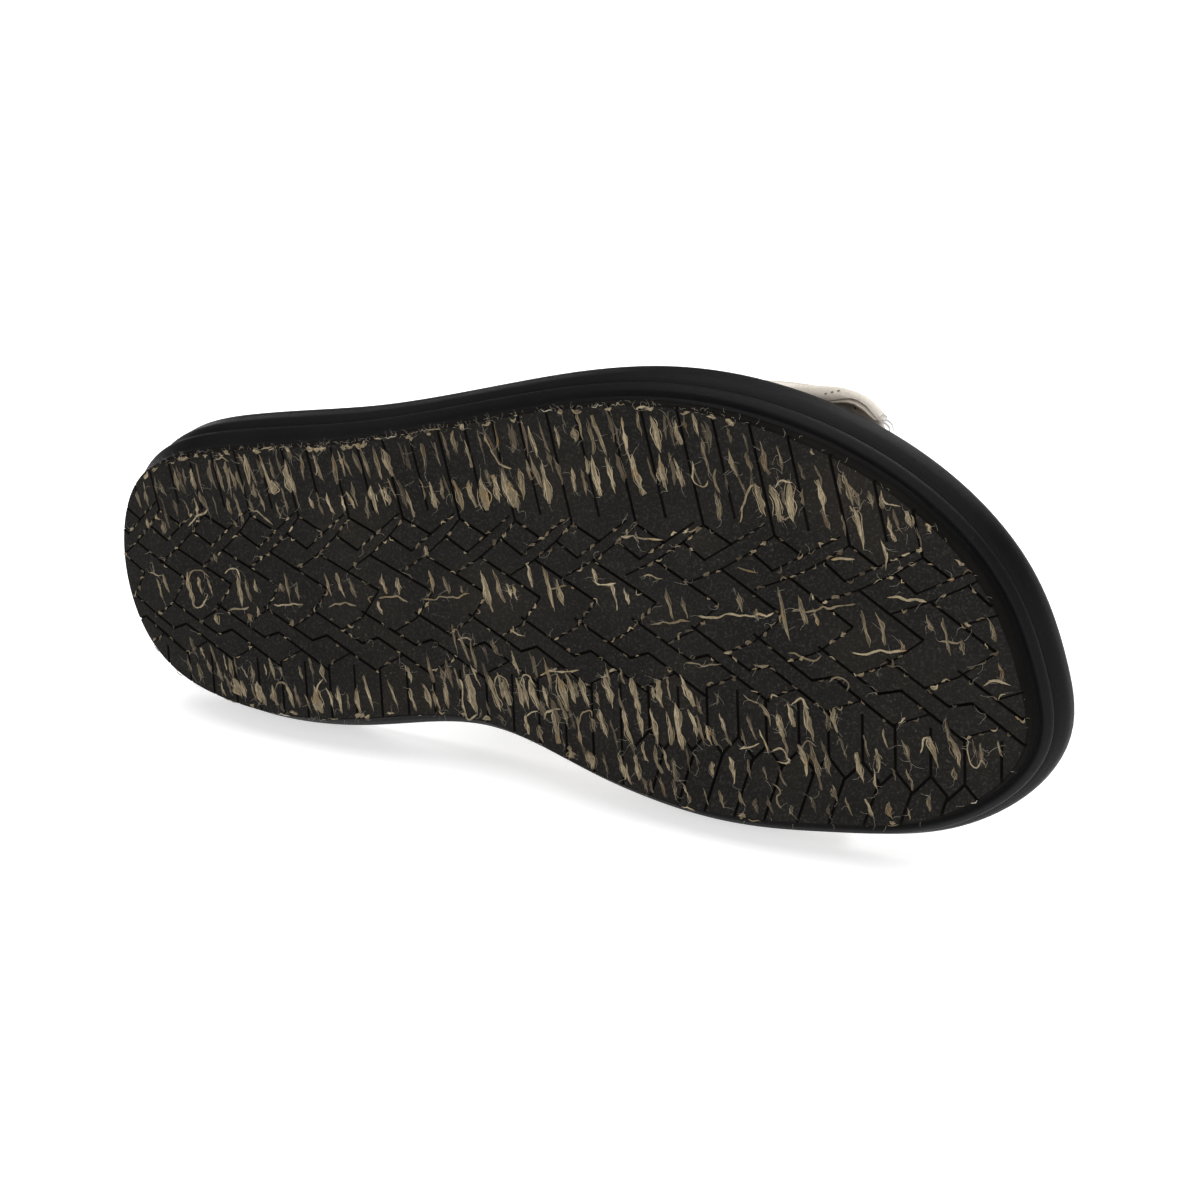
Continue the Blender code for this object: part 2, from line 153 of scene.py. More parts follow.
LATERAL_TUFTS = (
    (19.5, -22.5, 5, 1), (25, -25, 6, 1.2), (26.5, -25.5, 8, 1.2), (31, -26, 6, 1.6),
    (33, -26.5, 8, 1.2), (40, -28, 9, 1.4), (43, -27, 10, 1.4), (47, -27, 7, 1.3),
    (49.5, -29.5, 10, 1.5), (51.5, -25, 4, 1.4), (56, -30, 11, 1.7), (58, -26.5, 4, 3),
    (63, -30, 9, 2.8), (64, -28, 6, 2), (73.5, -32.5, 8, 1.1), (76.5, -24, 6, 1.3), (80.5, -35, 7, 1.1),
    (87.5, -36, 9, 1.2), (91, -36, 9, 1.3), (94, -36.5, 8, 1.8), (104.5, -38, 8, 1.1),
    (118, -40.5, 7, 1.3), (137.5, -45.5, 8, 1.6), (144.5, -47.5, 6, 1.1), (149.5, -48.5, 4, 1.5),
    (154, -48.5, 9, 1.4), (156.5, -48.5, 11, 1.3), (163.5, -50, 8, 1.2), (171.5, -50.5, 9, 2),
    (177.5, -51.5, 6, 2), (182, -53.5, 7, 1), (185, -46, 10, 1.2), (191.5, -45.5, 7, 1.6),
    (195.5, -46, 5, 1.2), (199.5, -47.5, 8, 1.3), (203, -47.5, 7, 1.1), (210.5, -49, 6, 1.1),
    (70, -23.5, 3, 1), (82.5, -25.5, 5, 1.1), (87.5, -24, 6, 1.1), (90, -26, 8, 1.5),
    (93.5, -27.5, 5, 1.1), (100, -26.5, 8, 1.1), (107, -29, 7, 1.9), (114.5, -29.5, 8, 1.8),
    (119, -30.5, 7, 1.9), (122, -31, 9, 2.5), (126, -32.5, 7, 2), (129.5, -33, 10, 2.6),
    (131.5, -31, 8, 3), (133.5, -34.5, 8, 1.8), (141, -36, 11, 1.9), (149, -37.5, 6, 1.3),
    (152, -37, 7, 1.3), (155.5, -39, 10, 2.1), (159.5, -39.5, 9, 1.3), (167, -40.5, 10, 2.4),
    (173.5, -41.5, 9, 2), (177.5, -42, 7, 1.5), (187.5, -35.5, 8, 1.3), (198.5, -37.5, 8, 1.6),
    (202, -37, 9, 2.1), (206, -38, 10, 2.4), (213, -39.5, 8, 1.8), (219.5, -42, 8, 1.2),
    (222, -33, 10, 1.5), (224.5, -40, 4, 1.1), (229.5, -33.5, 6, 1.1), (233.5, -36, 4, 1.5),
    (236, -36, 11, 1.6), (241.5, -33.5, 4, 1.1), (42.5, -19.5, 5, 1), (59, -20.5, 5, 1),
    (251, -21, 4, 2),
)
MIDDLE_TUFTS = (
    (12.5, -11.5, 3, 1.2), (18.5, -11.5, 4, 1.3), (16.5, -14, 2, 1.2), (44, -15, 2, 1),
    (47, -16.5, 2, 1), (36.5, -4.5, 2.5, 1.3), (13, 1, 3, 0.8), (15, 7, 6, 1.1), (18, 5, 5.5, 1.2),
    (27, 5, 9, 1.6), (30.5, 4, 5, 1.6), (33.5, 3.5, 5, 1.3), (44, 3.5, 9, 1.4), (47, 3, 7, 1.2),
    (50, 1.5, 4, 1), (60.5, 1, 8.5, 1.3), (64, 1.5, 5, 0.9), (58.5, 1, 2.5, 1.3), (74, -1.5, 7, 1),
    (78, -2, 7, 1.5), (81.5, -2, 6, 1.1), (50, 8.5, 2.5, 1), (47, 11, 2.5, 1.3), (61.5, 10.5, 2, 1.3),
    (35.5, 13, 3, 1.5), (91.5, -4, 5.5, 1.2), (95.5, -3.5, 5, 1.2), (90, 2.5, 4, 1),
    (105.5, -6, 6, 1.3), (110, -5.5, 5, 1.2), (114.5, -5, 2, 1), (104.5, -14, 3, 1),
    (122, -5.5, 11, 1.6), (126, -7.5, 9, 1.4), (129, -6.5, 4, 1), (131, -6.5, 4, 1),
    (135.5, -11.5, 6, 1.5), (141, -9, 12, 1.8), (144.5, -8.5, 7, 1.2), (154.5, -14, 4, 1),
    (160, -9.5, 7, 1.1), (163.5, -10, 4, 1), (166.5, -25, 3, 0.8), (175, -9.5, 8.5, 1.1),
    (179, -9.5, 6, 0.9), (193.5, -12.5, 5, 1.2), (198, -10, 3, 1), (204.5, -11, 13, 1.1),
    (209, -12.5, 7, 1.1), (212.5, -10.5, 3, 1), (224, -9.5, 9, 1.2), (227.5, -10, 8, 1.2),
    (232.5, -6.5, 3, 1), (238.5, -12.5, 4, 1), (242.5, -9.5, 9, 1.2), (246, -7.5, 4, 1),
    (252, -12, 6, 0.9), (254.5, -2, 5, 0.8),
)
MEDIAL_TUFTS = (
    (28, 29, 5, 1), (31.5, 27, 4, 1.1), (35, 28, 6, 1.2), (39, 26.5, 6, 1.3), (46.5, 27, 5, 1.4),
    (53.5, 24.5, 6, 1.2), (56.5, 25, 3, 1.4), (63, 24, 4, 1), (67, 22, 5, 1.3), (71, 23, 5.5, 1.1),
    (36, 33, 5, 1.3), (41, 32, 6, 3), (43, 32, 5, 2), (48.5, 32, 6, 2.4), (50, 33, 6, 1.8),
    (54, 32, 6, 2.2), (59, 31.5, 7, 1.7), (61.5, 31, 7, 1.3), (68.5, 31, 8, 2.1), (67.5, 33, 4, 2),
    (72.5, 30, 6, 1.5), (75.5, 30, 8, 1.7), (82, 29.5, 9, 1.6), (85, 27, 10, 1), (97.5, 20, 5, 1.5),
    (98.5, 27, 8, 1.2), (103, 25.5, 7, 1.9), (108.5, 24, 8, 1.6), (116.5, 23, 11, 2.5),
    (123.5, 21.5, 10, 2), (127.5, 20.5, 7, 2.2), (131.5, 20, 8, 2.1), (136, 19.5, 8, 2.2),
    (139.5, 19.5, 6, 1.7), (144.5, 17.5, 10, 2.3), (147, 16, 8, 1.7), (151, 16.5, 8, 1.9),
    (155, 17.5, 4, 1.3), (158, 15.5, 8, 1.8), (165.5, 15, 9, 2.4), (172.5, 13.5, 7, 1.7),
    (179.5, 11.5, 8.5, 2.1), (133.5, 28, 7, 1.7), (142, 27, 9, 1.8), (149.5, 27, 8, 1.5),
    (153, 24, 5, 1.3), (156.5, 24, 8, 1.7), (163.5, 24, 11, 1.6), (166.5, 22, 7, 1.1),
    (170.5, 22.5, 10, 1.7), (177.5, 21, 12, 2.2), (181, 19.5, 7, 1.2), (185.5, 22, 5, 1.2),
    (189, 18.5, 5.5, 1.1), (196.5, 18, 7, 1), (200, 14.5, 6, 1), (204, 16.5, 6, 1.8),
    (206.5, 13.5, 6, 1.4), (211, 14.5, 10, 1.5), (215, 14, 5, 1.4), (217.5, 13.5, 6, 1.6),
    (209.5, 24.5, 8, 1.8), (212.5, 23.5, 9, 1.4), (216, 24.5, 6, 1.2), (223.5, 24.5, 8, 1.8),
    (227.5, 22, 6, 1.6), (234, 19, 6, 1.3), (240.5, 18.5, 8, 1.7), (245, 18, 8, 1.8),
    (251.5, 18, 6, 1.2), (255, 16, 4, 1), (146.5, 33, 4, 3), (152.5, 34, 5, 3.2), (161.5, 34, 7, 1.8),
    (165.5, 33.5, 7, 2), (176, 32.5, 6, 1.4), (191.5, 30, 7, 1.5), (217.5, 31.5, 4, 1.1),
    (239.5, 31, 4, 1.2),
)
THREADS = (                  # thin threads: arches between tufts, threads across the combs, stray ends
    ((26.5, 3), (27.5, -0.5), (31, -1), (33.8, 1)), ((27, 8.5), (28.5, 10.8), (31.5, 9.5), (33, 6)),
    ((39.8, -0.8), (41.5, -2.5), (44.5, -2.8), (45, 0)), ((39.5, 9.6), (43, 8.8), (47, 8.4)),
    ((55.4, 6.4), (60, 5.4), (65.4, 4.9)), ((74, 4), (78, 2.6), (82.8, 2.8)),
    ((11.3, 2.5), (13.5, 3), (16, 2.8)), ((54, 30), (55, 28.3), (58.5, 28.2)),
    ((68, 31), (68.3, 27), (70.7, 25.5)), ((39.3, -32), (40.5, -33.2), (43, -32)),
    ((27.5, -12.5), (31, -15.5), (34.8, -18)), ((49, -19.5), (53, -19), (57, -16.5)),
    ((89.7, 0.3), (94, -0.5), (98.3, 0)), ((102.7, -1), (109, -2.2), (116.7, -4)),
    ((128.5, -6.5), (131.5, -7)), ((141, -9), (144, -10), (146.7, -10.3)),
    ((154, -12.7), (157, -12.2), (160, -12.7)), ((138, 14), (144, 12), (149.7, 10.7)),
    ((113, 19), (113.5, 27), (115.5, 30), (118, 28)),
    ((123.3, 19), (124, 16.8), (127, 16.5), (128.2, 19)),
    ((131.3, 18), (132.5, 15), (135, 15), (136.2, 17.5)),
    ((149.3, 25), (150, 21.2), (152.5, 20.7), (153.3, 23)), ((133, 26), (134.5, 24.5), (137, 24.3)),
    ((138.5, 25.5), (141, 23), (144, 22)), ((123, -46), (124.5, -42), (127.5, -39), (131, -38)),
    ((168, -15.3), (170, -15.8), (173, -15.2)), ((162, -25), (167, -24.5), (173, -25.2)),
    ((170, -3.7), (175, -5), (180, -6)), ((183, -7.7), (190, -9), (196, -9.4), (202, -10.7)),
    ((206, -11.7), (213, -13), (222, -15.3)), ((221, -3.3), (227, -4.6), (233, -5.3)),
    ((241, -8.5), (246, -8.5)), ((251, 0.5), (254, 0.2), (257, 0.6)),
    ((181, -45), (181.5, -40), (184, -38.6), (185.5, -41)),
    ((193.5, -31.5), (194.5, -37), (196, -41.7), (198.5, -40)),
    ((202, -40.5), (203.5, -42.7), (206, -41.5)), ((202, -34.5), (204, -33.4), (206, -34.5)),
    ((227, -42.5), (228, -39), (231, -38.7)), ((219.7, -38), (221.5, -36.5), (222.5, -37.5)),
    ((206.7, 11), (208, 9.2), (210.5, 9.8), (211, 12)), ((209, 22), (210.5, 19), (212.5, 20)),
    ((248, 15), (248.5, 20), (250.5, 22), (251.5, 19)),
    ((237.5, 19), (238, 14.5), (239.5, 14.8), (239.8, 18)),
    ((202, 31.5), (204.5, 33), (203, 36), (204.5, 38)),
    ((202, 24), (203.5, 22), (206, 23), (205.5, 26), (203, 26)),
    ((216, 4.7), (217.5, 2.6), (220, 3.5), (220, 6)), ((194.5, 10.5), (196.5, 11.5), (199, 11.7)),
    ((193.3, 24), (196, 23), (198.7, 22.3)), ((193, -20.3), (195, -20.8), (198, -20.2)),
    ((180, -28), (183, -28.4)), ((215.7, -25), (218, -25.6), (220.7, -25)),
    ((229, -17.3), (233, -17.8), (238, -17)), ((205.7, -1.3), (210, -0.8), (213.7, -1.5)),
    ((179, 4.7), (184, 4.4), (189, 3.7)), ((197, 2.3), (200.7, 2)), ((112.7, 8), (117.3, 8.3)),
    ((129, 4), (133, 4.2)),
)
BEAD_PITCH, PLAIN_PITCH = 3.1, 6.5
BEADS_LOST = 0.2

# Make-up of the yarn, in millimetres, shares of a tuft's width and radians
TUFT_POINTS, STUB_POINTS, STUB_LENGTH = 12, 7, 3.0
TUFT_BOW, TUFT_WANDER, TUFT_LOPSIDED = 0.3, 0.12, 0.22
TUFT_HAIRS = 1.4
CORE_HALF, CORE_LEAST, CORE_UNEVEN, CORE_THIN, CORE_FLAT, CORE_LIFT = 0.46, 0.05, 0.38, 0.6, 0.25, 0.02
STRAND_SPREAD, STRAND_WANDER, STRAND_LIMIT = 0.55, 0.3, 1.15
STRAND_LIFT, STRAND_DOME, STRAND_RIPPLE = 0.10, 0.22, 0.05
STRAND_WIDTHS, STRANDS_DULLER = (0.1, 0.26), 0.35
HAIR_STEPS, HAIR_KINK, HAIR_CURL = 7, 0.25, 0.9
HAIR_LIFT, HAIR_RISE = 0.25, 0.7
HAIR_WIDTHS = (0.055, 0.025)  # at the root and at the tip
THREAD_STEP, THREAD_WANDER, THREAD_UNEVEN = 0.6, (0.25, 0.36), 0.35
THREAD_TIP, THREAD_TAPER = 0.2, 1.0
THREAD_FLAT, THREAD_LIFT = 0.45, 0.08
THREAD_RADII, THREADS_DULL, THREAD_HAIRS = (0.15, 0.23), 0.4, 3
PLY_TWIST, PLY_WIDTH = 1.9, 0.16
FULL_TURN = 6.28
Fray = namedtuple("Fray", "along amount")
LATERAL_FRAY = (
    Fray(0.0, 0.2), Fray(14.0, 0.6), Fray(30.0, 1.0), Fray(110.0, 1.0), Fray(170.0, 0.6), Fray(215.0, 0.2),
    Fray(262.0, 0.1),
)
MEDIAL_FRAY = (Fray(70.0, 0.28), Fray(100.0, 0.12))
LEAST_FRAY = 0.05
FRAY_POINTS, FRAY_INSET = 900, 0.3
FRAY_STRANDS, FRAY_TUFTS, FRAY_HAIRS = 0.09, 0.13, 1.0  # at each point of the edge, where it frays most

# Instep band. base: where it leaves its slot. lean: towards the heel as it rises. rise, crown: how far the
# section runs on straight, up from the slot and across from the ridge, before it rounds the shoulder.
# flare: how far the shoulder is pushed outwards from over the slot
Side = namedtuple("Side", "base lean rise crown flare")
Edge = namedtuple("Edge", "medial lateral ridge_along ridge_up")
BAND_FRONT = Edge(Side(220.0, 0.42, 40.0, 38.0, 0.0), Side(223.0, 0.42, 46.0, 49.0, 6.0), 158.0, 67.0)
BAND_REAR = Edge(Side(134.0, 0.25, 44.0, 38.0, 0.0), Side(128.0, 0.25, 44.0, 36.0, -14.0), 113.0, 79.0)
RIDGE_ACROSS = -2.0
BAND_REACH = 1.0
BAND_HALF = 1.3
BAND_SIDE_LENGTH, BAND_WIDTH = 105.0, 80.0
SEAMS = (0.34, 0.58)
SEAM_STEP = 0.6
SEAM_EASE = 0.004            # share of the way up to either side of a seam, within which it steps
SLOT_CLEAR = 0.4             # from the band's foot to the slot's floor
BAND_COLUMNS, BAND_ROWS = 81, 52
EDGE_ROWS, FIRST_ROW = (0.0, 0.004, 0.012, 0.024, 0.04), 0.055  # shares of the way to the rear edge
EDGE_ROUND = 0.02
FOLD_SHARE, FOLD_EASE, FOLD_RAISE = 0.05, 0.01, 0.5  # the folded front and rear edges
FOLD_START = 0.05            # share of the way up
SHELL_UNDER, LINING_OVER = 0.1, 0.25  # below the middle surface
LINING_INSET = 0.006
LINING_GAP, GAP_EASE, GAP_BELOW = 0.7, 0.03, 0.6  # between the outer layer and the lining at the front edge
EDGE_STITCHES = (0.021, 0.075, 0.925, 0.979)  # shares of the way from the front edge to the rear one
STITCH_PITCH, STITCH_LENGTH, STITCH_RADIUS = 2.6, 1.9, 0.27
STITCH_POINTS, STITCH_BULGE, STITCH_DIP = 6, 0.28, 0.12
STITCH_FOOT = 0.1            # share of the way up, where the edges' stitches start
SEAM_STITCHES = (0.1, 0.9)   # shares of the way to the rear edge
SEAM_STITCH_LINES = (0.014, 0.022, 0.03)  # shares of the way up past a seam, the stitches on the second
SEAM_EDGE, SEAM_EDGE_RISE = 0.42, 0.55  # radius of the pale cut edge at a seam, and its share of the step
SEAM_EDGE_LINES = (-0.01, 0.002, 0.01)  # the same for its cut edge
Lip = namedtuple("Lip", "outside crease lining")
LOOSE_LIP = (                # where the band's front corner stands off over the rim: three lines, in plan
    Lip((221.5, -54.5), (219.2, -54.4), (218.3, -54.2)), Lip((219.7, -56.7), (217.8, -55.8), (216.8, -55.2)),
    Lip((218.0, -58.2), (216.3, -57.4), (215.2, -56.3)), Lip((215.9, -59.6), (214.2, -58.5), (213.2, -57.3)),
    Lip((213.6, -60.5), (212.2, -58.8), (211.3, -57.7)), Lip((211.0, -61.1), (210.0, -58.4), (209.4, -57.6)),
    Lip((208.5, -61.3), (207.5, -57.9), (207.2, -57.3)), Lip((204.9, -61.2), (204.5, -57.5), (204.5, -57.0)),
    Lip((200.0, -61.0), (200.0, -57.5), (200.0, -57.0)), Lip((195.4, -60.4), (195.5, -57.5), (195.5, -57.0)),
    Lip((190.0, -59.3), (190.0, -57.2), (190.0, -56.8)), Lip((184.0, -58.3), (184.0, -57.0), (184.0, -56.7)),
    Lip((178.0, -57.4), (178.0, -56.9), (178.0, -56.6)),
)
LIP_LEVEL = 19.2
LIP_JOIN = 0.24              # share of the way up where it meets the band
LIP_BACK, LIP_SUNK = 7.0, 0.3  # how far behind its own edge that is, and how far into the band
LIP_JOIN_LINES = (LIP_JOIN - 0.01, LIP_JOIN, LIP_JOIN + 0.01)
LIP_REAR = 0.6               # share of the way to the rear edge
LIP_FOLD, CREASE_FOLD, OUTSIDE_FOLD = 0.8, 0.5, 0.4  # how far its folded edge hangs
LINING_FOLD, LINING_LIFT, LINING_TUCK = 0.6, 0.3, 1.5
LIP_BULGE, LINING_BULGE, LIP_HOLLOW = (-1.5, 1.7, 8.0), (0.2, -1.0, 3.0), (-3.0, 2.0, 9.0)
LIP_STITCHES = ((206.5, -59.6), (208.1, -60.1), (209.7, -60.5))
LIP_STITCH, LIP_STITCH_DROP, LIP_STITCH_THIN = (0.3, -0.1), 0.75, 0.7
STRAY_RADII = (0.36, 0.16)
STRAY_THREADS = (            # along, across, up: loose thread ends by the lip
    ((220.6, -54.6, 18.4), (221.6, -54.3, 19.6), (222.8, -53.4, 19.4), (223.4, -52.2, 18.0)),
    ((220.9, -54.2, 18.2), (222.3, -52.9, 18.9), (222.6, -51.8, 17.6)),
    ((219.8, -55.2, 18.3), (220.5, -56.0, 19.0), (221.8, -55.4, 18.2)),
)
Crease = namedtuple("Crease", "medial start end depth width")
CREASES = (                  # start, end: shares of the way up the side and of the way to the rear edge
    Crease(False, (0.42, 0.05), (0.80, 0.38), 0.9, 3.2), Crease(False, (0.30, 0.20), (0.55, 0.66), 0.7, 2.8),
    Crease(False, (0.66, 0.52), (0.98, 0.60), 0.8, 3.4), Crease(True, (0.45, 0.10), (0.78, 0.42), 0.8, 3.0),
    Crease(True, (0.62, 0.60), (0.97, 0.70), 0.8, 3.4), Crease(True, (0.28, 0.40), (0.50, 0.82), 0.6, 2.6),
)
CREASE_BEND, CREASE_EDGE = 0.06, 1.6

# Camera, in the shoe's frame
CAMERA_AT = (383.3, -146.0, -405.7)
CAMERA_TARGET = (145.2, -1.6, 19.2)
CAMERA_UP = (-0.080, -0.981, 0.178)
CAMERA_LENS, CAMERA_SENSOR, CAMERA_NEAR = 59.87, 36.0, 0.01

# Finishes
FINER_GRAIN = 3.7            # times as fine as the coarse grain

# Floor and lights, in metres and watts in the part's frame
FLOOR_HALF, FLOOR_DROP = 6.0, 0.0002
Light = namedtuple("Light", "name place target size power")
LIGHTS = (
    Light("overhead", (0.05, 0.0, 1.8), (0.0, 0.0, 0.0), 2.0, 35.0),
    Light("front", (0.7, -1.6, 1.0), (0.0, 0.0, 0.05), 1.6, 16.0),
    Light("back", (0.35, 1.2, 0.9), (0.05, 0.0, 0.08), 0.6, 9.5),
)
STUDIO_LIGHT = 0.15          # of the white backdrop, which is brighter to look at


def shoe_frame(record):
    """The matrix from the shoe's frame, in millimetres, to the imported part's, by the tread's flat spots."""
    rests = {mount["name"]: mount for mount in record["mounts"]}
    heel = Vector(rests["heel_rest"]["pos_m"])
    forefoot = Vector(rests["forefoot_rest"]["pos_m"])
    up = -Vector(rests["heel_rest"]["axis"]).normalized()
    ahead = (forefoot - heel).normalized()
    veer = math.atan2(FOREFOOT_REST[1] - HEEL_REST[1], FOREFOOT_REST[0] - HEEL_REST[0])
    along = ahead * math.cos(veer) - up.cross(ahead) * math.sin(veer)
    across = up.cross(along)
    origin = heel - (along * HEEL_REST[0] + across * HEEL_REST[1]) * MM
    axes = Matrix((along * MM, across * MM, up * MM)).transposed().to_4x4()
    return Matrix.Translation(origin) @ axes


def travel_along(line):
    """How far along a polyline each of its points lies."""
    return np.concatenate([[0.0], np.cumsum(np.linalg.norm(np.diff(line, axis=0), axis=1))])


def read_at(wanted, known, line):
    """Points of a polyline at wanted values, where its own points stand at the known ones."""
    return np.column_stack([np.interp(wanted, known, column) for column in line.T])


def read_table(along, table):
    """The values of a table at places along the sole, one for each column after its first."""
    first, *columns = np.array(table).T
    return [np.interp(along, first, column) for column in columns]


def unit(vectors):
    """Vectors scaled to a length of one."""
    return vectors / (np.linalg.norm(vectors, axis=1, keepdims=True) + TINY)


def evenly_spaced(curve, count):
    """The closed polyline again, with count points at equal distances along it."""
    closed = np.vstack([curve, curve[:1]])
    travelled = travel_along(closed)
    return read_at(np.linspace(0.0, travelled[-1], count, endpoint=False), travelled, closed)


def closed_spline(points):
    """Points on the smooth closed curve (periodic cubic) through the given ones."""
    points = np.asarray(points, dtype=float)
    total = len(points)
    steps = np.linalg.norm(np.roll(points, -1, axis=0) - points, axis=1)
    system = np.zeros((total, total))
    turn = np.zeros((total, 2))
    for i in range(total):
        after = (i + 1) % total
        system[i, i - 1] += steps[i - 1] / 6.0
        system[i, i] += (steps[i - 1] + steps[i]) / 3.0
        system[i, after] += steps[i] / 6.0
        turn[i] = (points[after] - points[i]) / steps[i] - (points[i] - points[i - 1]) / steps[i - 1]
    bend = np.linalg.solve(system, turn)
    share = np.linspace(0.0, 1.0, SPLINE_PIECES, endpoint=False)[:, None]
    rest = 1.0 - share
    spans = []
    for i in range(total):
        after = (i + 1) % total
        cubic = (rest ** 3 - rest) * bend[i] + (share ** 3 - share) * bend[after]
        spans.append(rest * points[i] + share * points[after] + steps[i] ** 2 / 6.0 * cubic)
    return np.vstack(spans)


SOLE_CURVE = closed_spline(TREAD_OUTLINE)


def outwards(curve):
    """Unit directions out of a closed curve in plan."""
    travel = np.roll(curve, -1, axis=0) - np.roll(curve, 1, axis=0)
    out = np.column_stack([-travel[:, 1], travel[:, 0]])
    return out / np.linalg.norm(out, axis=1, keepdims=True)


def outline(reach, count=SIDE_POINTS):
    """The sole's outline in plan, moved outwards by reach."""
    curve = evenly_spaced(SOLE_CURVE, count)
    return curve + reach * outwards(curve)


def side_line(medial, reach):
    """The outline's medial or lateral side, from heel to toe."""
    curve = outline(reach, FINE_POINTS)
    toe = int(curve[:, 0].argmax())
    heel = int(curve[:, 0].argmin())
    order = np.roll(np.arange(len(curve)), -heel)
    split = int(np.where(order == toe)[0][0])
    return curve[order[:split + 1]] if medial else curve[order[split:]][::-1]


YARN_EDGE = outline(-YARN_EDGE_INSET, COARSE_POINTS)
SIDE_LINES = {
    (medial, reach): side_line(medial, reach) for medial in (True, False) for reach in (0.0, BAND_REACH)
}


def edge_across(along, medial, reach=0.0):
    """How far across the outline lies at a place along the sole, on the medial or the lateral side."""
    side = SIDE_LINES[medial, reach]
    return np.interp(along, side[:, 0], side[:, 1])


def inner_ring(share):
    """The outline shrunk towards the sole's middle line."""
    curve = outline(0.0)
    along = np.clip(curve[:, 0], SPINE_START, SPINE_END)
    spine = np.column_stack([along, (edge_across(along, True) + edge_across(along, False)) / 2.0])
    return spine + share * (curve - spine)


def ground_clearance(along):
    """Height of the sole's underside: flat at heel and forefoot, raised behind the heel, at arch and toe."""
    bevel = np.clip((HEEL_BEVEL_END - along) / HEEL_BEVEL_END, 0.0, None) ** 2 * HEEL_BEVEL_RISE
    arch_share = np.clip((along - ARCH_START) / (ARCH_END - ARCH_START), 0.0, 1.0)
    arch = np.sin(np.pi * arch_share) ** 2 * ARCH_RISE
    spring_share = np.clip((along - SPRING_START) / (SPRING_END - SPRING_START), 0.0, None)
    return bevel + arch + spring_share ** SPRING_POWER * SPRING_RISE


def rim_height(along):
    """Height of the rim above the sole's underside."""
    return RIM_HEEL + (RIM_TOE - RIM_HEEL) * np.clip(along / SOLE_LENGTH, 0.0, 1.0)


def at_height(plan, share=0.0, drop=0.0):
    """A plan ring raised to a share of the rim's height, less a drop."""
    along = plan[:, 0]
    return np.column_stack([plan, ground_clearance(along) + share * rim_height(along) - drop])


def dish_floor(plan, share, lift):
    """A plan ring laid on the dish, share of the way out from its middle, raised by lift."""
    depth, = read_table(plan[:, 0], DISH_DEPTHS)
    return at_height(plan, 1.0, DISH_EDGE_DROP + depth * (1.0 - share ** DISH_POWER) - lift)


def eased(steps, pieces=4, roundness=0.35):
    """A table of steps again, with rounded steps put between them."""
    table = np.array(steps, dtype=float)
    padded = np.vstack([2 * table[0] - table[1], table, 2 * table[-1] - table[-2]])
    finer = []
    for a, b, c, d in zip(padded, padded[1:], padded[2:], padded[3:]):
        slope_in, slope_out = (c - a) * roundness, (d - b) * roundness
        for t in np.arange(pieces) / pieces:
            straight = b + (c - b) * (3 * t ** 2 - 2 * t ** 3)
            finer.append(straight + slope_in * (t - 2 * t ** 2 + t ** 3) + slope_out * (t ** 3 - t ** 2))
    return [Step(*step) for step in [*finer, table[-1]]]


class Stock:
    """Points and faces of a piece while it is made, in the shoe's frame."""

    def __init__(self):
        self.points = []
        self.faces = []
        self.finishes = []

    def add(self, points, faces, finish=0):
        """Adds a loose patch."""
        start = len(self.points)
        self.points.extend(np.asarray(points, dtype=float).tolist())
        self.add_faces([[start + i for i in face] for face in faces], finish)

    def add_faces(self, faces, finish=0):
        """Adds faces between points that are there already."""
        self.faces.extend(faces)
        self.finishes.extend([finish] * len(faces))

    def add_grid(self, lines, closed=False, finish=0):
        """Adds quads between lines of equal count, each closed on itself if asked."""
        lines = np.asarray(lines, dtype=float)
        rows, count = lines.shape[:2]
        index = np.arange(rows * count).reshape(rows, count)
        ahead = np.roll(index, -1, axis=1) if closed else index[:, 1:]
        here = index if closed else index[:, :-1]
        faces = np.stack([here[:-1], ahead[:-1], ahead[1:], here[1:]], axis=-1).reshape(-1, 4)
        self.add(lines.reshape(-1, 3), faces.tolist(), finish)

    def add_tube(self, path, radii, sides=6, flat=1.0, face_up=-UP, finish=0):
        """Adds a closed tube along a path, with a radius at each point, flattened against face_up."""
        tangent = unit(np.gradient(path, axis=0))
        aside = unit(np.cross(tangent, face_up))
        up = np.cross(aside, tangent)
        angles = np.linspace(0.0, 2 * np.pi, sides, endpoint=False)[None, :, None]
        ring = np.cos(angles) * aside[:, None] + flat * np.sin(angles) * up[:, None]
        first = len(self.points)
        self.add_grid(path[:, None] + radii[:, None, None] * ring, closed=True, finish=finish)
        last = len(self.points) - sides
        self.add_faces([list(range(first, first + sides))[::-1], list(range(last, last + sides))], finish)

    def add_ribbon(self, path, widths, finish=0):
        """Adds a thin strip along a path that lies on the tread."""
        aside = unit(np.cross(np.gradient(path, axis=0), -UP))
        half = aside * (widths / 2.0)[:, None]
        points = np.stack([path - half, path + half], axis=1).reshape(-1, 3)
        faces = [(2 * i, 2 * i + 1, 2 * i + 3, 2 * i + 2) for i in range(len(path) - 1)]
        self.add(points, faces, finish)

    def make(self, name, finishes, slot, sharp=None, replaces=None, facing=True):
        """Turns the stock into a piece that rides on the part."""
        mesh = bpy.data.meshes.new(name)
        mesh.from_pydata(self.points, [], self.faces)
        mesh.polygons.foreach_set("material_index", self.finishes)
        mesh.transform(SHOE)
        for finish in finishes:
            mesh.materials.append(finish)
        if facing:
            form = bmesh.new()
            form.from_mesh(mesh)
            bmesh.ops.recalc_face_normals(form, faces=form.faces)
            form.to_mesh(mesh)
            form.free()
        mesh.shade_smooth()
        if sharp is not None:
            mesh.set_sharp_from_angle(angle=math.radians(sharp))
        piece = bpy.data.objects.new(name, mesh)
        bpy.context.scene.collection.objects.link(piece)
        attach(piece, "root")
        if replaces:
            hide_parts(replaces)
        return piece


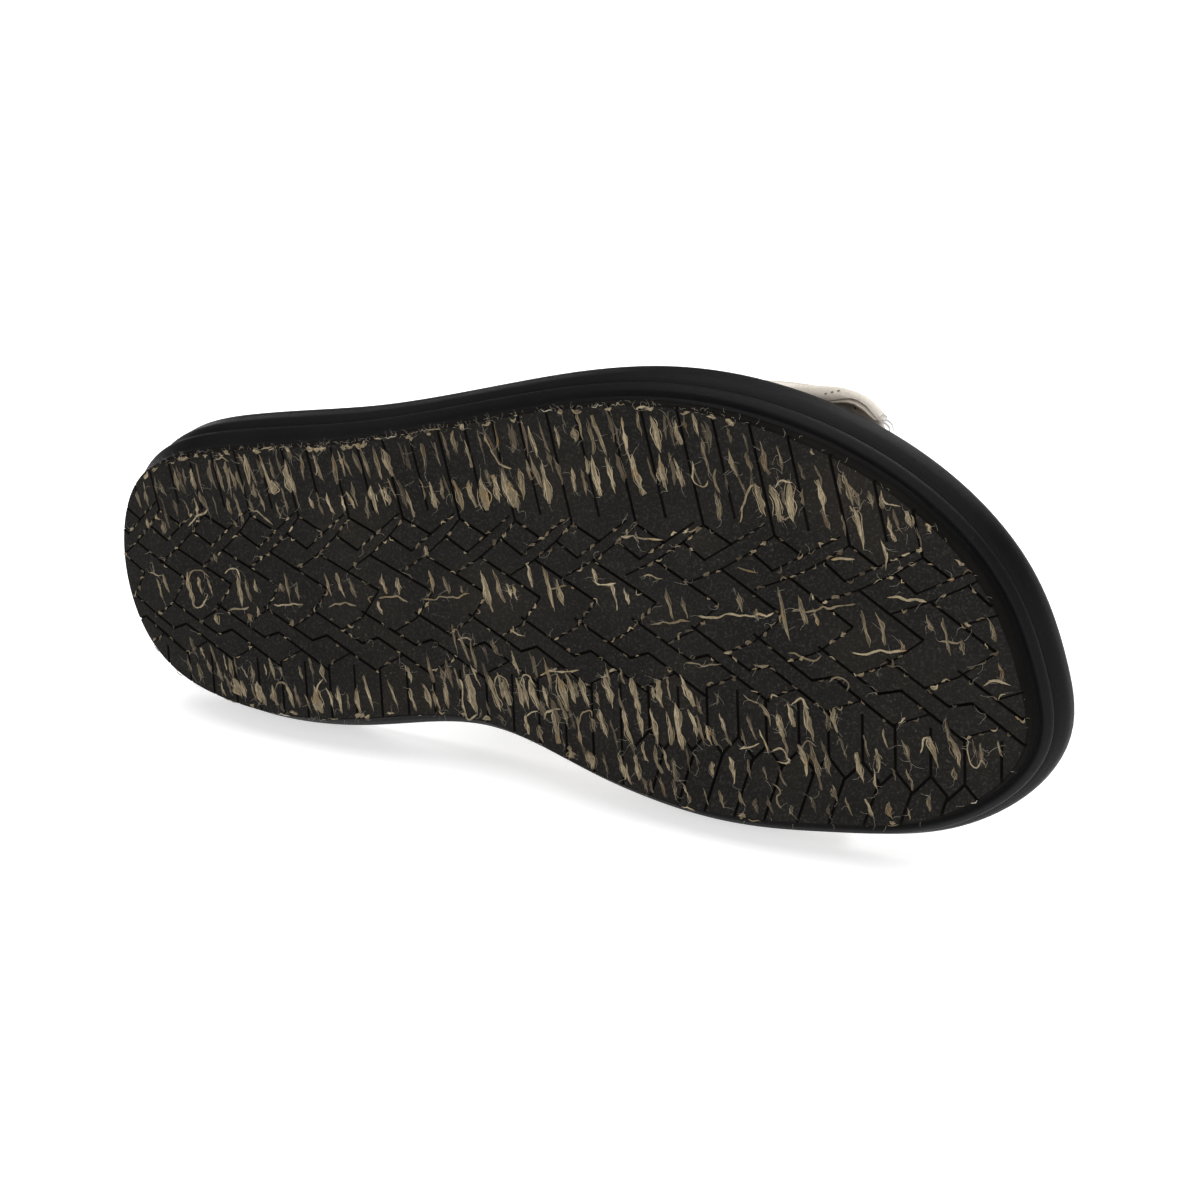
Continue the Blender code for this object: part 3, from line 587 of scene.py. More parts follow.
def shader(tree, kind, inputs=None, **settings):
    """Adds a shader node, with its settings, and its inputs given as values or as sockets to link."""
    made = tree.nodes.new(kind)
    for name, value in settings.items():
        setattr(made, name, value)
    for name, value in (inputs or {}).items():
        if isinstance(value, bpy.types.NodeSocket):
            tree.links.new(value, made.inputs[name])
        else:
            made.inputs[name].default_value = value
    return made


def over_piece(tree):
    """The place on a piece, for textures to be read at."""
    return shader(tree, "ShaderNodeTexCoord").outputs["Object"]


def noise(tree, place, scale, detail=3.0, roughness=0.5, stretch=None):
    """A noise texture's value, at a scale per metre, stretched if asked."""
    if stretch:
        place = shader(tree, "ShaderNodeMapping", {"Vector": place, "Scale": stretch}).outputs["Vector"]
    settings = {"Vector": place, "Scale": scale, "Detail": detail, "Roughness": roughness}
    return shader(tree, "ShaderNodeTexNoise", settings).outputs["Fac"]


def combined(tree, operation, first, second):
    """Two values put together by an operation such as ADD."""
    return shader(tree, "ShaderNodeMath", {0: first, 1: second}, operation=operation).outputs[0]


def ramp(tree, value, low, high, start=0.0, end=1.0):
    """A value spread from low..high to start..end."""
    settings = {"Value": value, "From Min": low, "From Max": high, "To Min": start, "To Max": end}
    return shader(tree, "ShaderNodeMapRange", settings).outputs["Result"]


def mixed(tree, factor, first, second):
    """Two colours mixed by a factor."""
    return shader(tree, "ShaderNodeMix", {0: factor, 6: first, 7: second}, data_type="RGBA").outputs[2]


def colour(red, green, blue):
    """A colour socket's value."""
    return (red, green, blue, 1.0)


def effect(name, inputs, outputs):
    """An empty node group with named value inputs, each with its default, and named outputs."""
    group = bpy.data.node_groups.new(name, "ShaderNodeTree")
    for socket, default in inputs.items():
        made = group.interface.new_socket(socket, in_out="INPUT", socket_type="NodeSocketFloat")
        made.default_value = default
    for socket in outputs:
        group.interface.new_socket(socket, in_out="OUTPUT", socket_type="NodeSocketFloat")
    entry = group.nodes.new("NodeGroupInput").outputs
    leave = group.nodes.new("NodeGroupOutput").inputs
    return group, entry, leave, over_piece(group)


def fine_grain():
    """Small uneven grain: a height for bumps and a slow mottle."""
    group, entry, leave, place = effect("fine_grain", {"Grain": 900.0, "Patch": 60.0}, ("Height", "Mottle"))
    coarse = noise(group, place, entry["Grain"], detail=4.0)
    fine = noise(group, place, combined(group, "MULTIPLY", entry["Grain"], FINER_GRAIN), detail=2.0)
    slow = noise(group, place, entry["Patch"], detail=5.0)
    group.links.new(combined(group, "ADD", coarse, fine), leave["Height"])
    group.links.new(ramp(group, slow, 0.3, 0.7), leave["Mottle"])
    return group


def dust_and_scuffs():
    """Where fine dust and short scuffs lie: a mask that is mostly empty."""
    group, entry, leave, place = effect("dust_and_scuffs", {"Speck": 1100.0, "Amount": 0.5}, ("Dust",))
    specks = noise(group, place, entry["Speck"], detail=2.0)
    scratch = noise(group, place, scale=420.0, detail=2.0, roughness=0.6, stretch=(1.0, 3.5, 1.0))
    spread = noise(group, place, scale=45.0)
    marks = combined(group, "MAXIMUM", ramp(group, specks, 0.66, 0.76), ramp(group, scratch, 0.7, 0.78))
    thinned = combined(group, "MULTIPLY", marks, ramp(group, spread, 0.35, 0.65))
    group.links.new(combined(group, "MULTIPLY", thinned, entry["Amount"]), leave["Dust"])
    return group


def new_finish(name, **sockets):
    """A new material, with its Principled shader's plain values set."""
    made = bpy.data.materials.new(name)
    made.use_nodes = True
    body = made.node_tree.nodes["Principled BSDF"]
    for socket, value in sockets.items():
        body.inputs[socket.replace("_", " ")].default_value = value
    return made, made.node_tree, body


def use_grain(tree, grain, patch):
    """Places the fine grain in a material, with its own scales."""
    made = shader(tree, "ShaderNodeGroup", node_tree=FINE_GRAIN)
    made.inputs["Grain"].default_value = grain
    made.inputs["Patch"].default_value = patch
    return made.outputs["Height"], made.outputs["Mottle"]


def use_dust(tree, speck, amount):
    """Places the dust and scuffs in a material, with its own scale and amount."""
    made = shader(tree, "ShaderNodeGroup", node_tree=DUST_AND_SCUFFS)
    made.inputs["Speck"].default_value = speck
    made.inputs["Amount"].default_value = amount
    return made.outputs["Dust"]


def roughen(tree, body, height, strength, distance):
    """Links a height to the shader's normal through a bump, distance in metres."""
    bump = shader(tree, "ShaderNodeBump", {"Height": height, "Strength": strength, "Distance": distance})
    tree.links.new(bump.outputs["Normal"], body.inputs["Normal"])


def tread_rubber():
    """Matte charcoal rubber, browner in patches, dusty."""
    made, tree, body = new_finish("tread_rubber", Specular_IOR_Level=0.06)
    height, mottle = use_grain(tree, grain=800.0, patch=24.0)
    dust = use_dust(tree, speck=1300.0, amount=0.8)
    place = over_piece(tree)
    brown = ramp(tree, noise(tree, place, scale=38.0, detail=4.0), 0.45, 0.75)
    flecks = ramp(tree, noise(tree, place, scale=1500.0, detail=3.0, roughness=0.65), 0.5, 0.72)
    base = mixed(tree, brown, colour(0.0105, 0.0102, 0.0092), colour(0.0175, 0.0145, 0.0118))
    base = mixed(tree, ramp(tree, mottle, 0.0, 1.0, 0.0, 0.5), base, colour(0.0070, 0.0068, 0.0062))
    base = mixed(tree, flecks, base, colour(0.030, 0.0275, 0.0240))
    base = mixed(tree, dust, base, colour(0.075, 0.068, 0.057))
    tree.links.new(base, body.inputs["Base Color"])
    tree.links.new(ramp(tree, mottle, 0.0, 1.0, 0.72, 0.92), body.inputs["Roughness"])
    roughen(tree, body, height, strength=0.8, distance=0.0003)
    return made


def groove_shade_rubber():
    """The tread's grooves: the same rubber, rougher and darker, the darkness painted shade; also on the
    tread's edge and hidden top.
    """
    made, tree, body = new_finish("groove_shade_rubber", Specular_IOR_Level=0.04, Roughness=0.95)
    height, mottle = use_grain(tree, grain=900.0, patch=60.0)
    base = mixed(tree, mottle, colour(0.0042, 0.0038, 0.0033), colour(0.0085, 0.0076, 0.0064))
    tree.links.new(base, body.inputs["Base Color"])
    roughen(tree, body, height, strength=0.4, distance=0.0002)
    return made


def sidewall_rubber():
    """Satin black moulded rubber with a faint cloudiness and a few scuffs."""
    made, tree, body = new_finish("sidewall_rubber", Specular_IOR_Level=0.1)
    height, mottle = use_grain(tree, grain=1500.0, patch=35.0)
    dust = use_dust(tree, speck=900.0, amount=0.35)
    base = mixed(tree, mottle, colour(0.0028, 0.0027, 0.0028), colour(0.0052, 0.0049, 0.0050))
    base = mixed(tree, dust, base, colour(0.032, 0.030, 0.028))
    tree.links.new(base, body.inputs["Base Color"])
    tree.links.new(ramp(tree, mottle, 0.0, 1.0, 0.40, 0.56), body.inputs["Roughness"])
    roughen(tree, body, height, strength=0.35, distance=0.00018)
    return made


def sock_suede():
    """Dark brown suede of the sock cover, with a brushed nap."""
    made, tree, body = new_finish(
        "sock_suede", Specular_IOR_Level=0.12, Sheen_Weight=0.06, Sheen_Roughness=0.6)
    height, mottle = use_grain(tree, grain=1500.0, patch=22.0)
    place = over_piece(tree)
    nap = noise(tree, place, scale=420.0, detail=5.0, roughness=0.7, stretch=(1.0, 2.4, 1.0))
    base = mixed(tree, mottle, colour(0.020, 0.0155, 0.0120), colour(0.036, 0.0285, 0.0225))
    base = mixed(tree, ramp(tree, nap, 0.42, 0.72, 0.0, 0.55), base, colour(0.058, 0.047, 0.037))
    tree.links.new(base, body.inputs["Base Color"])
    tree.links.new(ramp(tree, mottle, 0.0, 1.0, 0.85, 0.97), body.inputs["Roughness"])
    lift = combined(tree, "ADD", height, nap)
    roughen(tree, body, lift, strength=0.6, distance=0.0003)
    return made


def band_nubuck():
    """Greige nubuck: brushed nap, soft clouds and faint creases."""
    made, tree, body = new_finish(
        "band_nubuck", Specular_IOR_Level=0.25, Sheen_Weight=0.25, Sheen_Roughness=0.5)
    height, mottle = use_grain(tree, grain=1700.0, patch=42.0)
    place = over_piece(tree)
    nap = noise(tree, place, scale=260.0, detail=6.0, roughness=0.65, stretch=(1.0, 1.0, 2.6))
    base = mixed(tree, mottle, colour(0.62, 0.56, 0.485), colour(0.73, 0.68, 0.605))
    base = mixed(tree, ramp(tree, nap, 0.35, 0.7, 0.0, 0.35), base, colour(0.76, 0.72, 0.65))
    specks = noise(tree, place, scale=640.0, detail=6.0, roughness=0.75)
    base = mixed(tree, ramp(tree, specks, 0.5, 0.78, 0.0, 0.7), base, colour(0.43, 0.36, 0.285))
    tree.links.new(base, body.inputs["Base Color"])
    tree.links.new(ramp(tree, nap, 0.3, 0.7, 0.78, 0.92), body.inputs["Roughness"])
    lift = combined(tree, "ADD", height, nap)
    roughen(tree, body, lift, strength=0.45, distance=0.00022)
    return made


def band_lining():
    """Smooth pale leather inside the band."""
    made, tree, body = new_finish("band_lining", Specular_IOR_Level=0.35)
    height, mottle = use_grain(tree, grain=1100.0, patch=55.0)
    base = mixed(tree, mottle, colour(0.56, 0.50, 0.42), colour(0.66, 0.60, 0.52))
    tree.links.new(base, body.inputs["Base Color"])
    tree.links.new(ramp(tree, mottle, 0.0, 1.0, 0.52, 0.68), body.inputs["Roughness"])
    roughen(tree, body, height, strength=0.3, distance=0.00018)
    return made


def yarn_finish(name, dull, bright, warm):
    """Plant-fibre yarn, from dull to bright, with warmer strands."""
    made, tree, body = new_finish(name, Specular_IOR_Level=0.15, Roughness=0.95, Sheen_Weight=0.15)
    place = over_piece(tree)
    strand = noise(tree, place, scale=900.0, detail=3.0, roughness=0.6)
    lump = noise(tree, place, scale=75.0, detail=3.0)
    tone = noise(tree, place, scale=190.0, detail=2.0)
    base = mixed(tree, ramp(tree, lump, 0.32, 0.68), colour(*dull), colour(*bright))
    base = mixed(tree, ramp(tree, tone, 0.6, 0.72, 0.0, 0.6), base, colour(*warm))
    base = mixed(tree, ramp(tree, strand, 0.3, 0.55, 0.55, 0.0), base, colour(0.09, 0.07, 0.045))
    tree.links.new(base, body.inputs["Base Color"])
    roughen(tree, body, strand, strength=0.6, distance=0.0003)
    return made


def thread_finish(name, pale, deep):
    """Twisted sewing thread."""
    made, tree, body = new_finish(name, Specular_IOR_Level=0.25, Roughness=0.7)
    place = over_piece(tree)
    twist = noise(tree, place, scale=2400.0, detail=2.0)
    base = mixed(tree, ramp(tree, twist, 0.35, 0.65), colour(*deep), colour(*pale))
    tree.links.new(base, body.inputs["Base Color"])
    roughen(tree, body, twist, strength=0.5, distance=0.0002)
    return made


def glowing_floor_finish():
    """Plain pale floor with painted light: it glows, dimmer near the shoe and brighter with its distance from
    it, so that it stays white all over.
    """
    made, tree, body = new_finish("floor", Roughness=0.9, Specular_IOR_Level=0.1, Emission_Strength=1.0)
    body.inputs["Base Color"].default_value = colour(0.86, 0.86, 0.86)
    place = over_piece(tree)
    # painted light: the floor's own glow, weaker near the shoe where its shadow lies
    away = shader(tree, "ShaderNodeVectorMath", {0: place}, operation="LENGTH").outputs["Value"]
    far = ramp(tree, away, 0.2, 1.0)
    glow = mixed(tree, far, colour(0.57, 0.57, 0.57), colour(1.0, 1.0, 1.0))
    tree.links.new(glow, body.inputs["Emission Color"])
    return made


def lattice_at(along):
    """The lattice's place across, turn in radians and fan at a place along the sole."""
    across, turn, fan = read_table(along, LATTICE)
    return across, math.radians(turn), fan


def on_lattice(cell, ahead, aside):
    """A place on the tread given by its cell and its way from the cell's anchor."""
    anchor = FIRST_CELL + CELL * cell
    across, turn, fan = lattice_at(anchor)
    fanned = fan * min(max(-aside / FAN_WIDTH, 0.0), FAN_LIMIT)
    along = ahead * math.cos(turn) - aside * math.sin(turn) + fanned
    return anchor + along, across + ahead * math.sin(turn) + aside * math.cos(turn)


def to_edge(start, medial, lean):
    """Where a groove that leans towards the heel on its way out leaves the tread."""
    along = start[0]
    for _ in range(EDGE_TRIES):
        edge = edge_across(along, medial)
        along = start[0] - lean * abs(edge - start[1])
    return along, edge + (EDGE_OVERRUN if medial else -EDGE_OVERRUN)


def moved(place, way):
    """A place in plan, moved along and across."""
    return place[0] + way[0], place[1] + way[1]


def groove_lines():
    """The grooves of the tread as polylines in plan: the clear ones and the worn ones."""
    clear, worn = [], []
    for cell in CELLS:
        for index, groove in enumerate(CELL_GROOVES):
            kind = worn if index in BEADED_GROOVES else clear
            kind.append([on_lattice(cell, *place) for place in groove])
        for place in LATERAL_STARTS:
            start = on_lattice(cell, *place)
            if LATERAL_SPAN[0] < start[0] < LATERAL_SPAN[1]:
                clear.append([start, to_edge(start, False, LATERAL_LEAN)])
        for place in MEDIAL_STARTS:
            start = on_lattice(cell, *place)
            if not MEDIAL_SPAN[0] < start[0] < MEDIAL_SPAN[1]:
                continue
            if start[0] < FORK_FROM:
                clear.append([start, to_edge(start, True, MEDIAL_LEAN)])
                continue
            fork = moved(start, FORK)
            knee = moved(fork, KNEE)
            clear.append([start, fork, knee, to_edge(knee, True, FORK_LEAN)])
            clear.append([fork, moved(fork, PRONG)])
    return clear, worn


def segments_of(lines):
    """Polylines cut into their straight parts, as start and end points."""
    return np.array([(start, end) for line in lines for start, end in zip(line, line[1:])], dtype=float)


def distance_to(points, segments):
    """The distance in plan from each point to the nearest of the segments."""
    nearest = np.full(len(points), np.inf)
    for start, end in segments:
        run = end - start
        share = np.clip((points - start) @ run / (run @ run), 0.0, 1.0)
        nearest = np.minimum(nearest, np.linalg.norm(points - start - share[:, None] * run, axis=1))
    return nearest


def inside(points, ring):
    """Which points lie inside a closed ring in plan."""
    x, y = points[:, 0], points[:, 1]
    found = np.zeros(len(points), dtype=bool)
    for (x0, y0), (x1, y1) in zip(ring, np.roll(ring, -1, axis=0)):
        crosses = (y0 > y) != (y1 > y)
        found ^= crosses & (x < (x1 - x0) * (y - y0) / (y1 - y0 + 1e-12) + x0)
    return found


def groove_sides(segments, width):
    """A rectangle round each segment, half a width away from it all round."""
    run = segments[:, 1] - segments[:, 0]
    run *= width / 2.0 / np.linalg.norm(run, axis=1, keepdims=True)
    aside = np.column_stack([-run[:, 1], run[:, 0]])
    start = segments[:, 0] - run
    end = segments[:, 1] + run
    return np.stack([start - aside, end - aside, end + aside, start + aside], axis=1)


def cut_depth(plan, segments, cut):
    """How deep a kind of groove cuts in at places in plan."""
    apart = distance_to(plan, segments)
    return cut.depth * np.clip((cut.top / 2.0 - apart) / (cut.top - cut.floor) * 2.0, 0.0, 1.0)


def make_tread(clear, worn, rubber, groove_shade_finish):
    """The outsole: its worn underside with the grooves cut in and painted shade in them, its edge and its
    hidden top.
    """
    ring = outline(-TREAD_CHAMFER, TREAD_RING)
    kinds = ((clear, CLEAR_CUT), (worn, WORN_CUT))
    corners = [groove_sides(segments, width) for segments, cut in kinds for width in (cut.top, cut.floor)]
    corners = np.concatenate(corners)
    low, high = ring.min(axis=0), ring.max(axis=0)
    places = [np.arange(start, end, TREAD_GRID) for start, end in zip(low, high)]
    grid = np.stack(np.meshgrid(*places), -1).reshape(-1, 2)
    grid = grid[inside(grid, outline(-GRID_INSET, COARSE_POINTS))]
    points = np.concatenate([ring, corners.reshape(-1, 2), grid])
    edges = [(i, (i + 1) % TREAD_RING) for i in range(TREAD_RING)]
    for box in range(len(corners)):
        first = TREAD_RING + 4 * box
        edges += [(first + i, first + (i + 1) % 4) for i in range(4)]
    plan, _, faces, *_ = delaunay_2d_cdt([Vector(point) for point in points], edges, [], 0, SNAP)
    plan = np.array([point[:] for point in plan])
    faces = np.array([face for face in faces if len(face) == 3])
    faces = faces[inside(plan[faces].mean(axis=1), ring)]
    used, faces = np.unique(faces, return_inverse=True)
    plan, faces = plan[used], faces.reshape(-1, 3)
    depth = np.maximum(*(cut_depth(plan, segments, cut) for segments, cut in kinds))
    surface = np.column_stack([plan, ground_clearance(plan[:, 0]) + depth])
    stock = Stock()
    # faces in the grooves take the darker finish: painted shade
    cut = depth[faces].mean(axis=1) > SHADE_DEPTH
    stock.add(surface, faces[~cut].tolist())
    stock.add_faces(faces[cut].tolist(), GROOVE_SHADE)
    rim = boundary_of(faces)
    heading = outwards(ring)
    facing = heading[np.linalg.norm(plan[rim][:, None] - ring[None], axis=2).argmin(axis=1)]
    lift = ground_clearance(plan[rim][:, 0])
    bevel = np.maximum(TREAD_CHAMFER, depth[rim] + NOTCH)
    sides = [
        surface[rim],
        np.column_stack([plan[rim] + facing * TREAD_CHAMFER, lift + bevel]),
        np.column_stack([plan[rim] + facing * (TREAD_CHAMFER + EDGE_FLARE), lift + OUTSOLE_THICK]),
    ]
    stock.add_grid(sides, closed=True, finish=GROOVE_SHADE)
    top = len(stock.points) - len(rim)
    stock.add_faces([list(range(top, top + len(rim)))], GROOVE_SHADE)
    weld(stock.make("tread", [rubber, groove_shade_finish], "tread_rubber", sharp=TREAD_SHARP, replaces="outsole"))


def weld(piece):
    """Joins points that lie on each other."""
    form = bmesh.new()
    form.from_mesh(piece.data)
    bmesh.ops.remove_doubles(form, verts=form.verts, dist=WELD)
    bmesh.ops.recalc_face_normals(form, faces=form.faces)
    form.to_mesh(piece.data)
    form.free()


def boundary_of(faces):
    """The points of the one open edge of a triangle mesh, in order."""
    pairs = np.concatenate([faces[:, [0, 1]], faces[:, [1, 2]], faces[:, [2, 0]]])
    known = {tuple(pair) for pair in pairs.tolist()}
    onward = {a: b for a, b in known if (b, a) not in known}
    start = next(iter(onward))
    loop = [start]
    while onward[loop[-1]] != start and len(loop) <= len(onward):
        loop.append(onward[loop[-1]])
    return np.array(loop)


def make_loft(rings, name, finish, slot, replaces):
    """A piece lofted through rings, the first and the last one filled with strips from side to side."""
    stock = Stock()
    stock.add_grid(rings, closed=True)
    for row, turned in ((0, True), (len(rings) - 1, False)):
        for i in range(SIDE_POINTS // 2):
            ring = (i, i + 1, SIDE_POINTS - i - 1, (SIDE_POINTS - i) % SIDE_POINTS)
            strip = [row * SIDE_POINTS + point for point in dict.fromkeys(ring)]
            stock.add_faces([strip[::-1] if turned else strip])
    stock.make(name, [finish], slot, sharp=LOFT_SHARP, replaces=replaces)


def step_rings(steps):
    """The outline's rings at a table of steps."""
    return [at_height(outline(step.reach), step.share, step.drop) for step in steps]


def make_lower_tier(rubber):
    """The midsole: undercut above the tread, a rounded crest, then in to the line between the tiers."""
    rings = [at_height(inner_ring(share), drop=-OUTSOLE_THICK - 2 * JOINT) for share in INNER_SHARES[::-1]]
    rings += step_rings(eased(LOWER_TIER))
    rings += [at_height(inner_ring(share), TIER_LINE, JOINT) for share in INNER_SHARES]
    make_loft(rings, "lower_tier", rubber, "sidewall_rubber", "midsole")


def make_rim_tier(rubber):
    """The footbed: groove, rounded rim and the dished top under the sock."""
    rings = [at_height(inner_ring(share), TIER_LINE, -JOINT) for share in INNER_SHARES[::-1]]
    rings += step_rings([*eased(RIM_TIER), *RIM_INSIDE])
    rings += [dish_floor(inner_ring(share), share, 0.0) for share in INNER_SHARES]
    make_loft(rings, "rim_tier", rubber, "sidewall_rubber", "footbed")


def make_sock(suede):
    """The sock cover in the dish, with a rounded edge."""
    rings = [dish_floor(inner_ring(share), share, SOCK_LIFT) for share in INNER_SHARES[::-1]]
    for reach, lift in ((0.0, 0.0), *SOCK_ROUND):
        rings.append(dish_floor(outline(SOCK_EDGE + reach), 1.0, SOCK_LIFT + lift))
    rings += [dish_floor(inner_ring(share), share, SOCK_LIFT + SOCK_THICK) for share in INNER_SHARES]
    make_loft(rings, "sock", suede, "insole_suede", "insole")


def on_tread(plan, lift):
    """Places in plan, put on the tread's underside, standing out of it by lift."""
    return np.column_stack([plan, ground_clearance(plan[:, 0]) - lift])


def leaning(degrees):
    """Directions in plan down and across a yarn that leans towards the toe."""
    lean = math.radians(degrees)
    return np.array([math.sin(lean), math.cos(lean)]), np.array([math.cos(lean), -math.sin(lean)])


def wander(count, size):
    """A smooth random walk about zero."""
    knots = chance.normal(0.0, size, max(4, count // 3 + 2))
    return np.interp(np.linspace(0.0, len(knots) - 1.0, count), np.arange(len(knots)), knots)


def add_hair(yarn, start, heading, length, lift=HAIR_LIFT):
    """A loose fibre from a place on the tread, curling as it goes."""
    kinks = np.cumsum(chance.normal(0.0, HAIR_KINK, HAIR_STEPS))
    turns = heading + kinks + np.linspace(0.0, chance.normal(0.0, HAIR_CURL), HAIR_STEPS)
    steps = np.column_stack([np.cos(turns), np.sin(turns)]) * length / HAIR_STEPS
    path = np.vstack([start, start + np.cumsum(steps, axis=0)])
    rise = lift + np.linspace(0.0, chance.uniform(0.0, HAIR_RISE), len(path))
    yarn.hairs.add_ribbon(on_tread(path, rise), np.linspace(*HAIR_WIDTHS, len(path)))


def add_tuft(yarn, centre, length, width, lean, tone, hairs=TUFT_HAIRS):
    """A worn-open spindle of yarn: a flat core, strands over it and loose fibres."""
    down, aside = leaning(lean)
    count = TUFT_POINTS if length > STUB_LENGTH else STUB_POINTS
    share = np.linspace(-0.5, 0.5, count)
    bow = chance.normal(0.0, TUFT_BOW) * (0.25 - share ** 2) * 4.0 + wander(count, TUFT_WANDER)
    spine = centre + np.outer(share * length, down) + np.outer(bow, aside)
    fullest = chance.normal(0.0, TUFT_LOPSIDED)
    fatness = np.clip(1.0 - np.abs((2.0 * share - fullest) / (1.0 + abs(fullest))) ** 3, 0.02, 1.0)
    uneven = np.clip(1.0 + wander(count, CORE_UNEVEN), 0.3, 1.6)
    half = np.maximum(width * CORE_HALF * fatness * uneven, CORE_LEAST)
    core = on_tread(spine, CORE_LIFT)
    yarn.cores.add_tube(core, half * CORE_THIN * fatness, flat=CORE_FLAT, finish=min(tone + 1, SOILED))
    for _ in range(int(count / 3 + 5.0 * width)):
        first = chance.integers(0, count // 2)
        last = chance.integers(first + 4, count + 1)
        off = chance.normal(0.0, STRAND_SPREAD) + wander(count, STRAND_WANDER)
        off = np.clip(off, -STRAND_LIMIT, STRAND_LIMIT)
        dome = STRAND_DOME * half * np.clip(1.0 - off ** 2, 0.0, 1.0)
        lift = STRAND_LIFT + dome + wander(count, STRAND_RIPPLE)
        strand = on_tread(spine + (off * half)[:, None] * aside, lift)[first:last]
        taper = np.clip(1.7 * np.sin(np.linspace(0.15, 2.99, last - first)), 0.25, 1.0)
        widths = chance.uniform(*STRAND_WIDTHS) * taper
        yarn.strands.add_ribbon(strand, widths, min(tone + int(chance.random() < STRANDS_DULLER), SOILED))
    for _ in range(chance.poisson(hairs)):
        heading = math.atan2(*down[::-1]) + chance.choice([0.0, math.pi]) + chance.normal(0.0, 0.7)
        start = spine[chance.integers(0, count)] + aside * chance.normal(0.0, 0.3)
        add_hair(yarn, start, heading, chance.uniform(1.2, 3.6))


def add_thread(yarn, path, radius, tone):
    """A thin thread along a path on the tread, wavy and of uneven thickness, with loose fibres."""
    travelled = travel_along(path)
    count = max(6, int(travelled[-1] / THREAD_STEP))
    even = np.linspace(0.0, travelled[-1], count)
    line = read_at(even, travelled, path)
    line += np.column_stack([wander(count, size) for size in THREAD_WANDER])
    tapered = [0.0, THREAD_TAPER, even[-1] - THREAD_TAPER, even[-1]]
    taper = np.interp(even, tapered, [THREAD_TIP, 1.0, 1.0, THREAD_TIP])
    radii = radius * taper * np.clip(1.0 + wander(count, THREAD_UNEVEN), 0.35, 1.9)
    yarn.cores.add_tube(on_tread(line, THREAD_LIFT), radii, flat=THREAD_FLAT, finish=tone)
    across = unit(np.gradient(line, axis=0)[:, ::-1] * (1.0, -1.0))
    for phase in chance.uniform(0.0, FULL_TURN, 2):
        sway = np.sin(even * PLY_TWIST + phase) * radii
        ply = on_tread(line + across * sway[:, None], 0.1 + radii * 0.4)
        yarn.strands.add_ribbon(ply, PLY_WIDTH * taper, tone)
    for _ in range(chance.poisson(THREAD_HAIRS)):
        start = line[chance.integers(0, count)]
        add_hair(yarn, start, chance.uniform(0.0, FULL_TURN), chance.uniform(1.0, 3.0))


def on_tread_length(centre, length, lean):
    """As much of a tuft's length as stays on the tread, or none."""
    down, _ = leaning(lean)
    for share in (1.0, 0.8, 0.6, 0.4):
        tips = centre + np.outer([-0.5, 0.5], down) * length * share
        if inside(tips, YARN_EDGE).all():
            return length * share
    return 0.0


def add_rows(yarn, placed):
    """Dull tufts in rows along the tread's edges, between the full ones that are placed already."""
    for row in YARN_ROWS:
        for along in np.arange(row.start, row.end, row.pitch):
            along += chance.normal(0.0, 0.5)
            inwards = -1.0 if row.medial else 1.0
            across = edge_across(along, row.medial) + inwards * (row.inset + chance.normal(0.0, 1.1))
            lean = YARN_LEAN + chance.normal(0.0, 5.0)
            centre = np.array([along, across])
            length = on_tread_length(centre, row.length * chance.uniform(0.6, 1.25), lean)
            taken = (np.abs(placed - centre) < ROW_ROOM).all(axis=1).any()
            if length and not taken:
                width = row.width * chance.uniform(0.45, 1.2)
                add_tuft(yarn, centre, length, width, lean, chance.choice(3, p=ROW_TONES))


def add_full_tufts(yarn, tufts):
    """The full tufts, each at its own place, brighter where they are worn open wide."""
    for tuft in tufts:
        centre = np.array([tuft.along, tuft.across])
        lean = YARN_LEAN + chance.normal(0.0, 4.0)
        dull = MIDFOOT_DULL if MIDFOOT_START < tuft.along < MIDFOOT_END else END_DULL
        tone = BRIGHT if tuft.width >= FULL_WIDTH else int(chance.random() < dull)
        length = on_tread_length(centre, tuft.length, lean)
        if length:
            add_tuft(yarn, centre, length, tuft.width, lean, tone, 1.0 + 0.9 * tuft.width)


def rounded(points, rounds=3):
    """A polyline with its corners cut again and again, until it curves."""
    line = np.array(points, dtype=float)
    for _ in range(rounds):
        near, far = line[:-1] * 0.75 + line[1:] * 0.25, line[:-1] * 0.25 + line[1:] * 0.75
        line = np.vstack([line[:1], np.stack([near, far], axis=1).reshape(-1, line.shape[1]), line[-1:]])
    return line


def add_threads(yarn):
    """The thin threads, each along its own path."""
    for points in THREADS:
        path = rounded(points)
        add_thread(yarn, path, chance.uniform(*THREAD_RADII), int(chance.random() < THREADS_DULL))


def add_beads(yarn, lines):
    """Ends of yarn strung along the grooves of the cells, fuller along the worn ones."""
    for index, line in lines:
        beaded = index in BEADED_GROOVES
        for start, end in zip(line, line[1:]):
            start, end = np.array(start), np.array(end)
            length = np.linalg.norm(end - start)
            run = (end - start) / length
            pitch = BEAD_PITCH if beaded else PLAIN_PITCH
            for share in np.arange(chance.uniform(0.05, 0.4), 1.0, pitch / length):
                place = start + (end - start) * share + chance.normal(0.0, 0.15, 2)
                if chance.random() < BEADS_LOST or not inside(place[None], YARN_EDGE)[0]:
                    continue
                size = chance.uniform(1.3, 2.3) if beaded else chance.uniform(0.8, 1.7)
                width = chance.uniform(0.4, 0.85) if beaded else chance.uniform(0.25, 0.5)
                lean = math.degrees(math.atan2(run[0], run[1])) + chance.normal(0.0, 12.0)
                add_tuft(yarn, place, size, width, lean, chance.integers(BRIGHT, PALE), hairs=0.25)


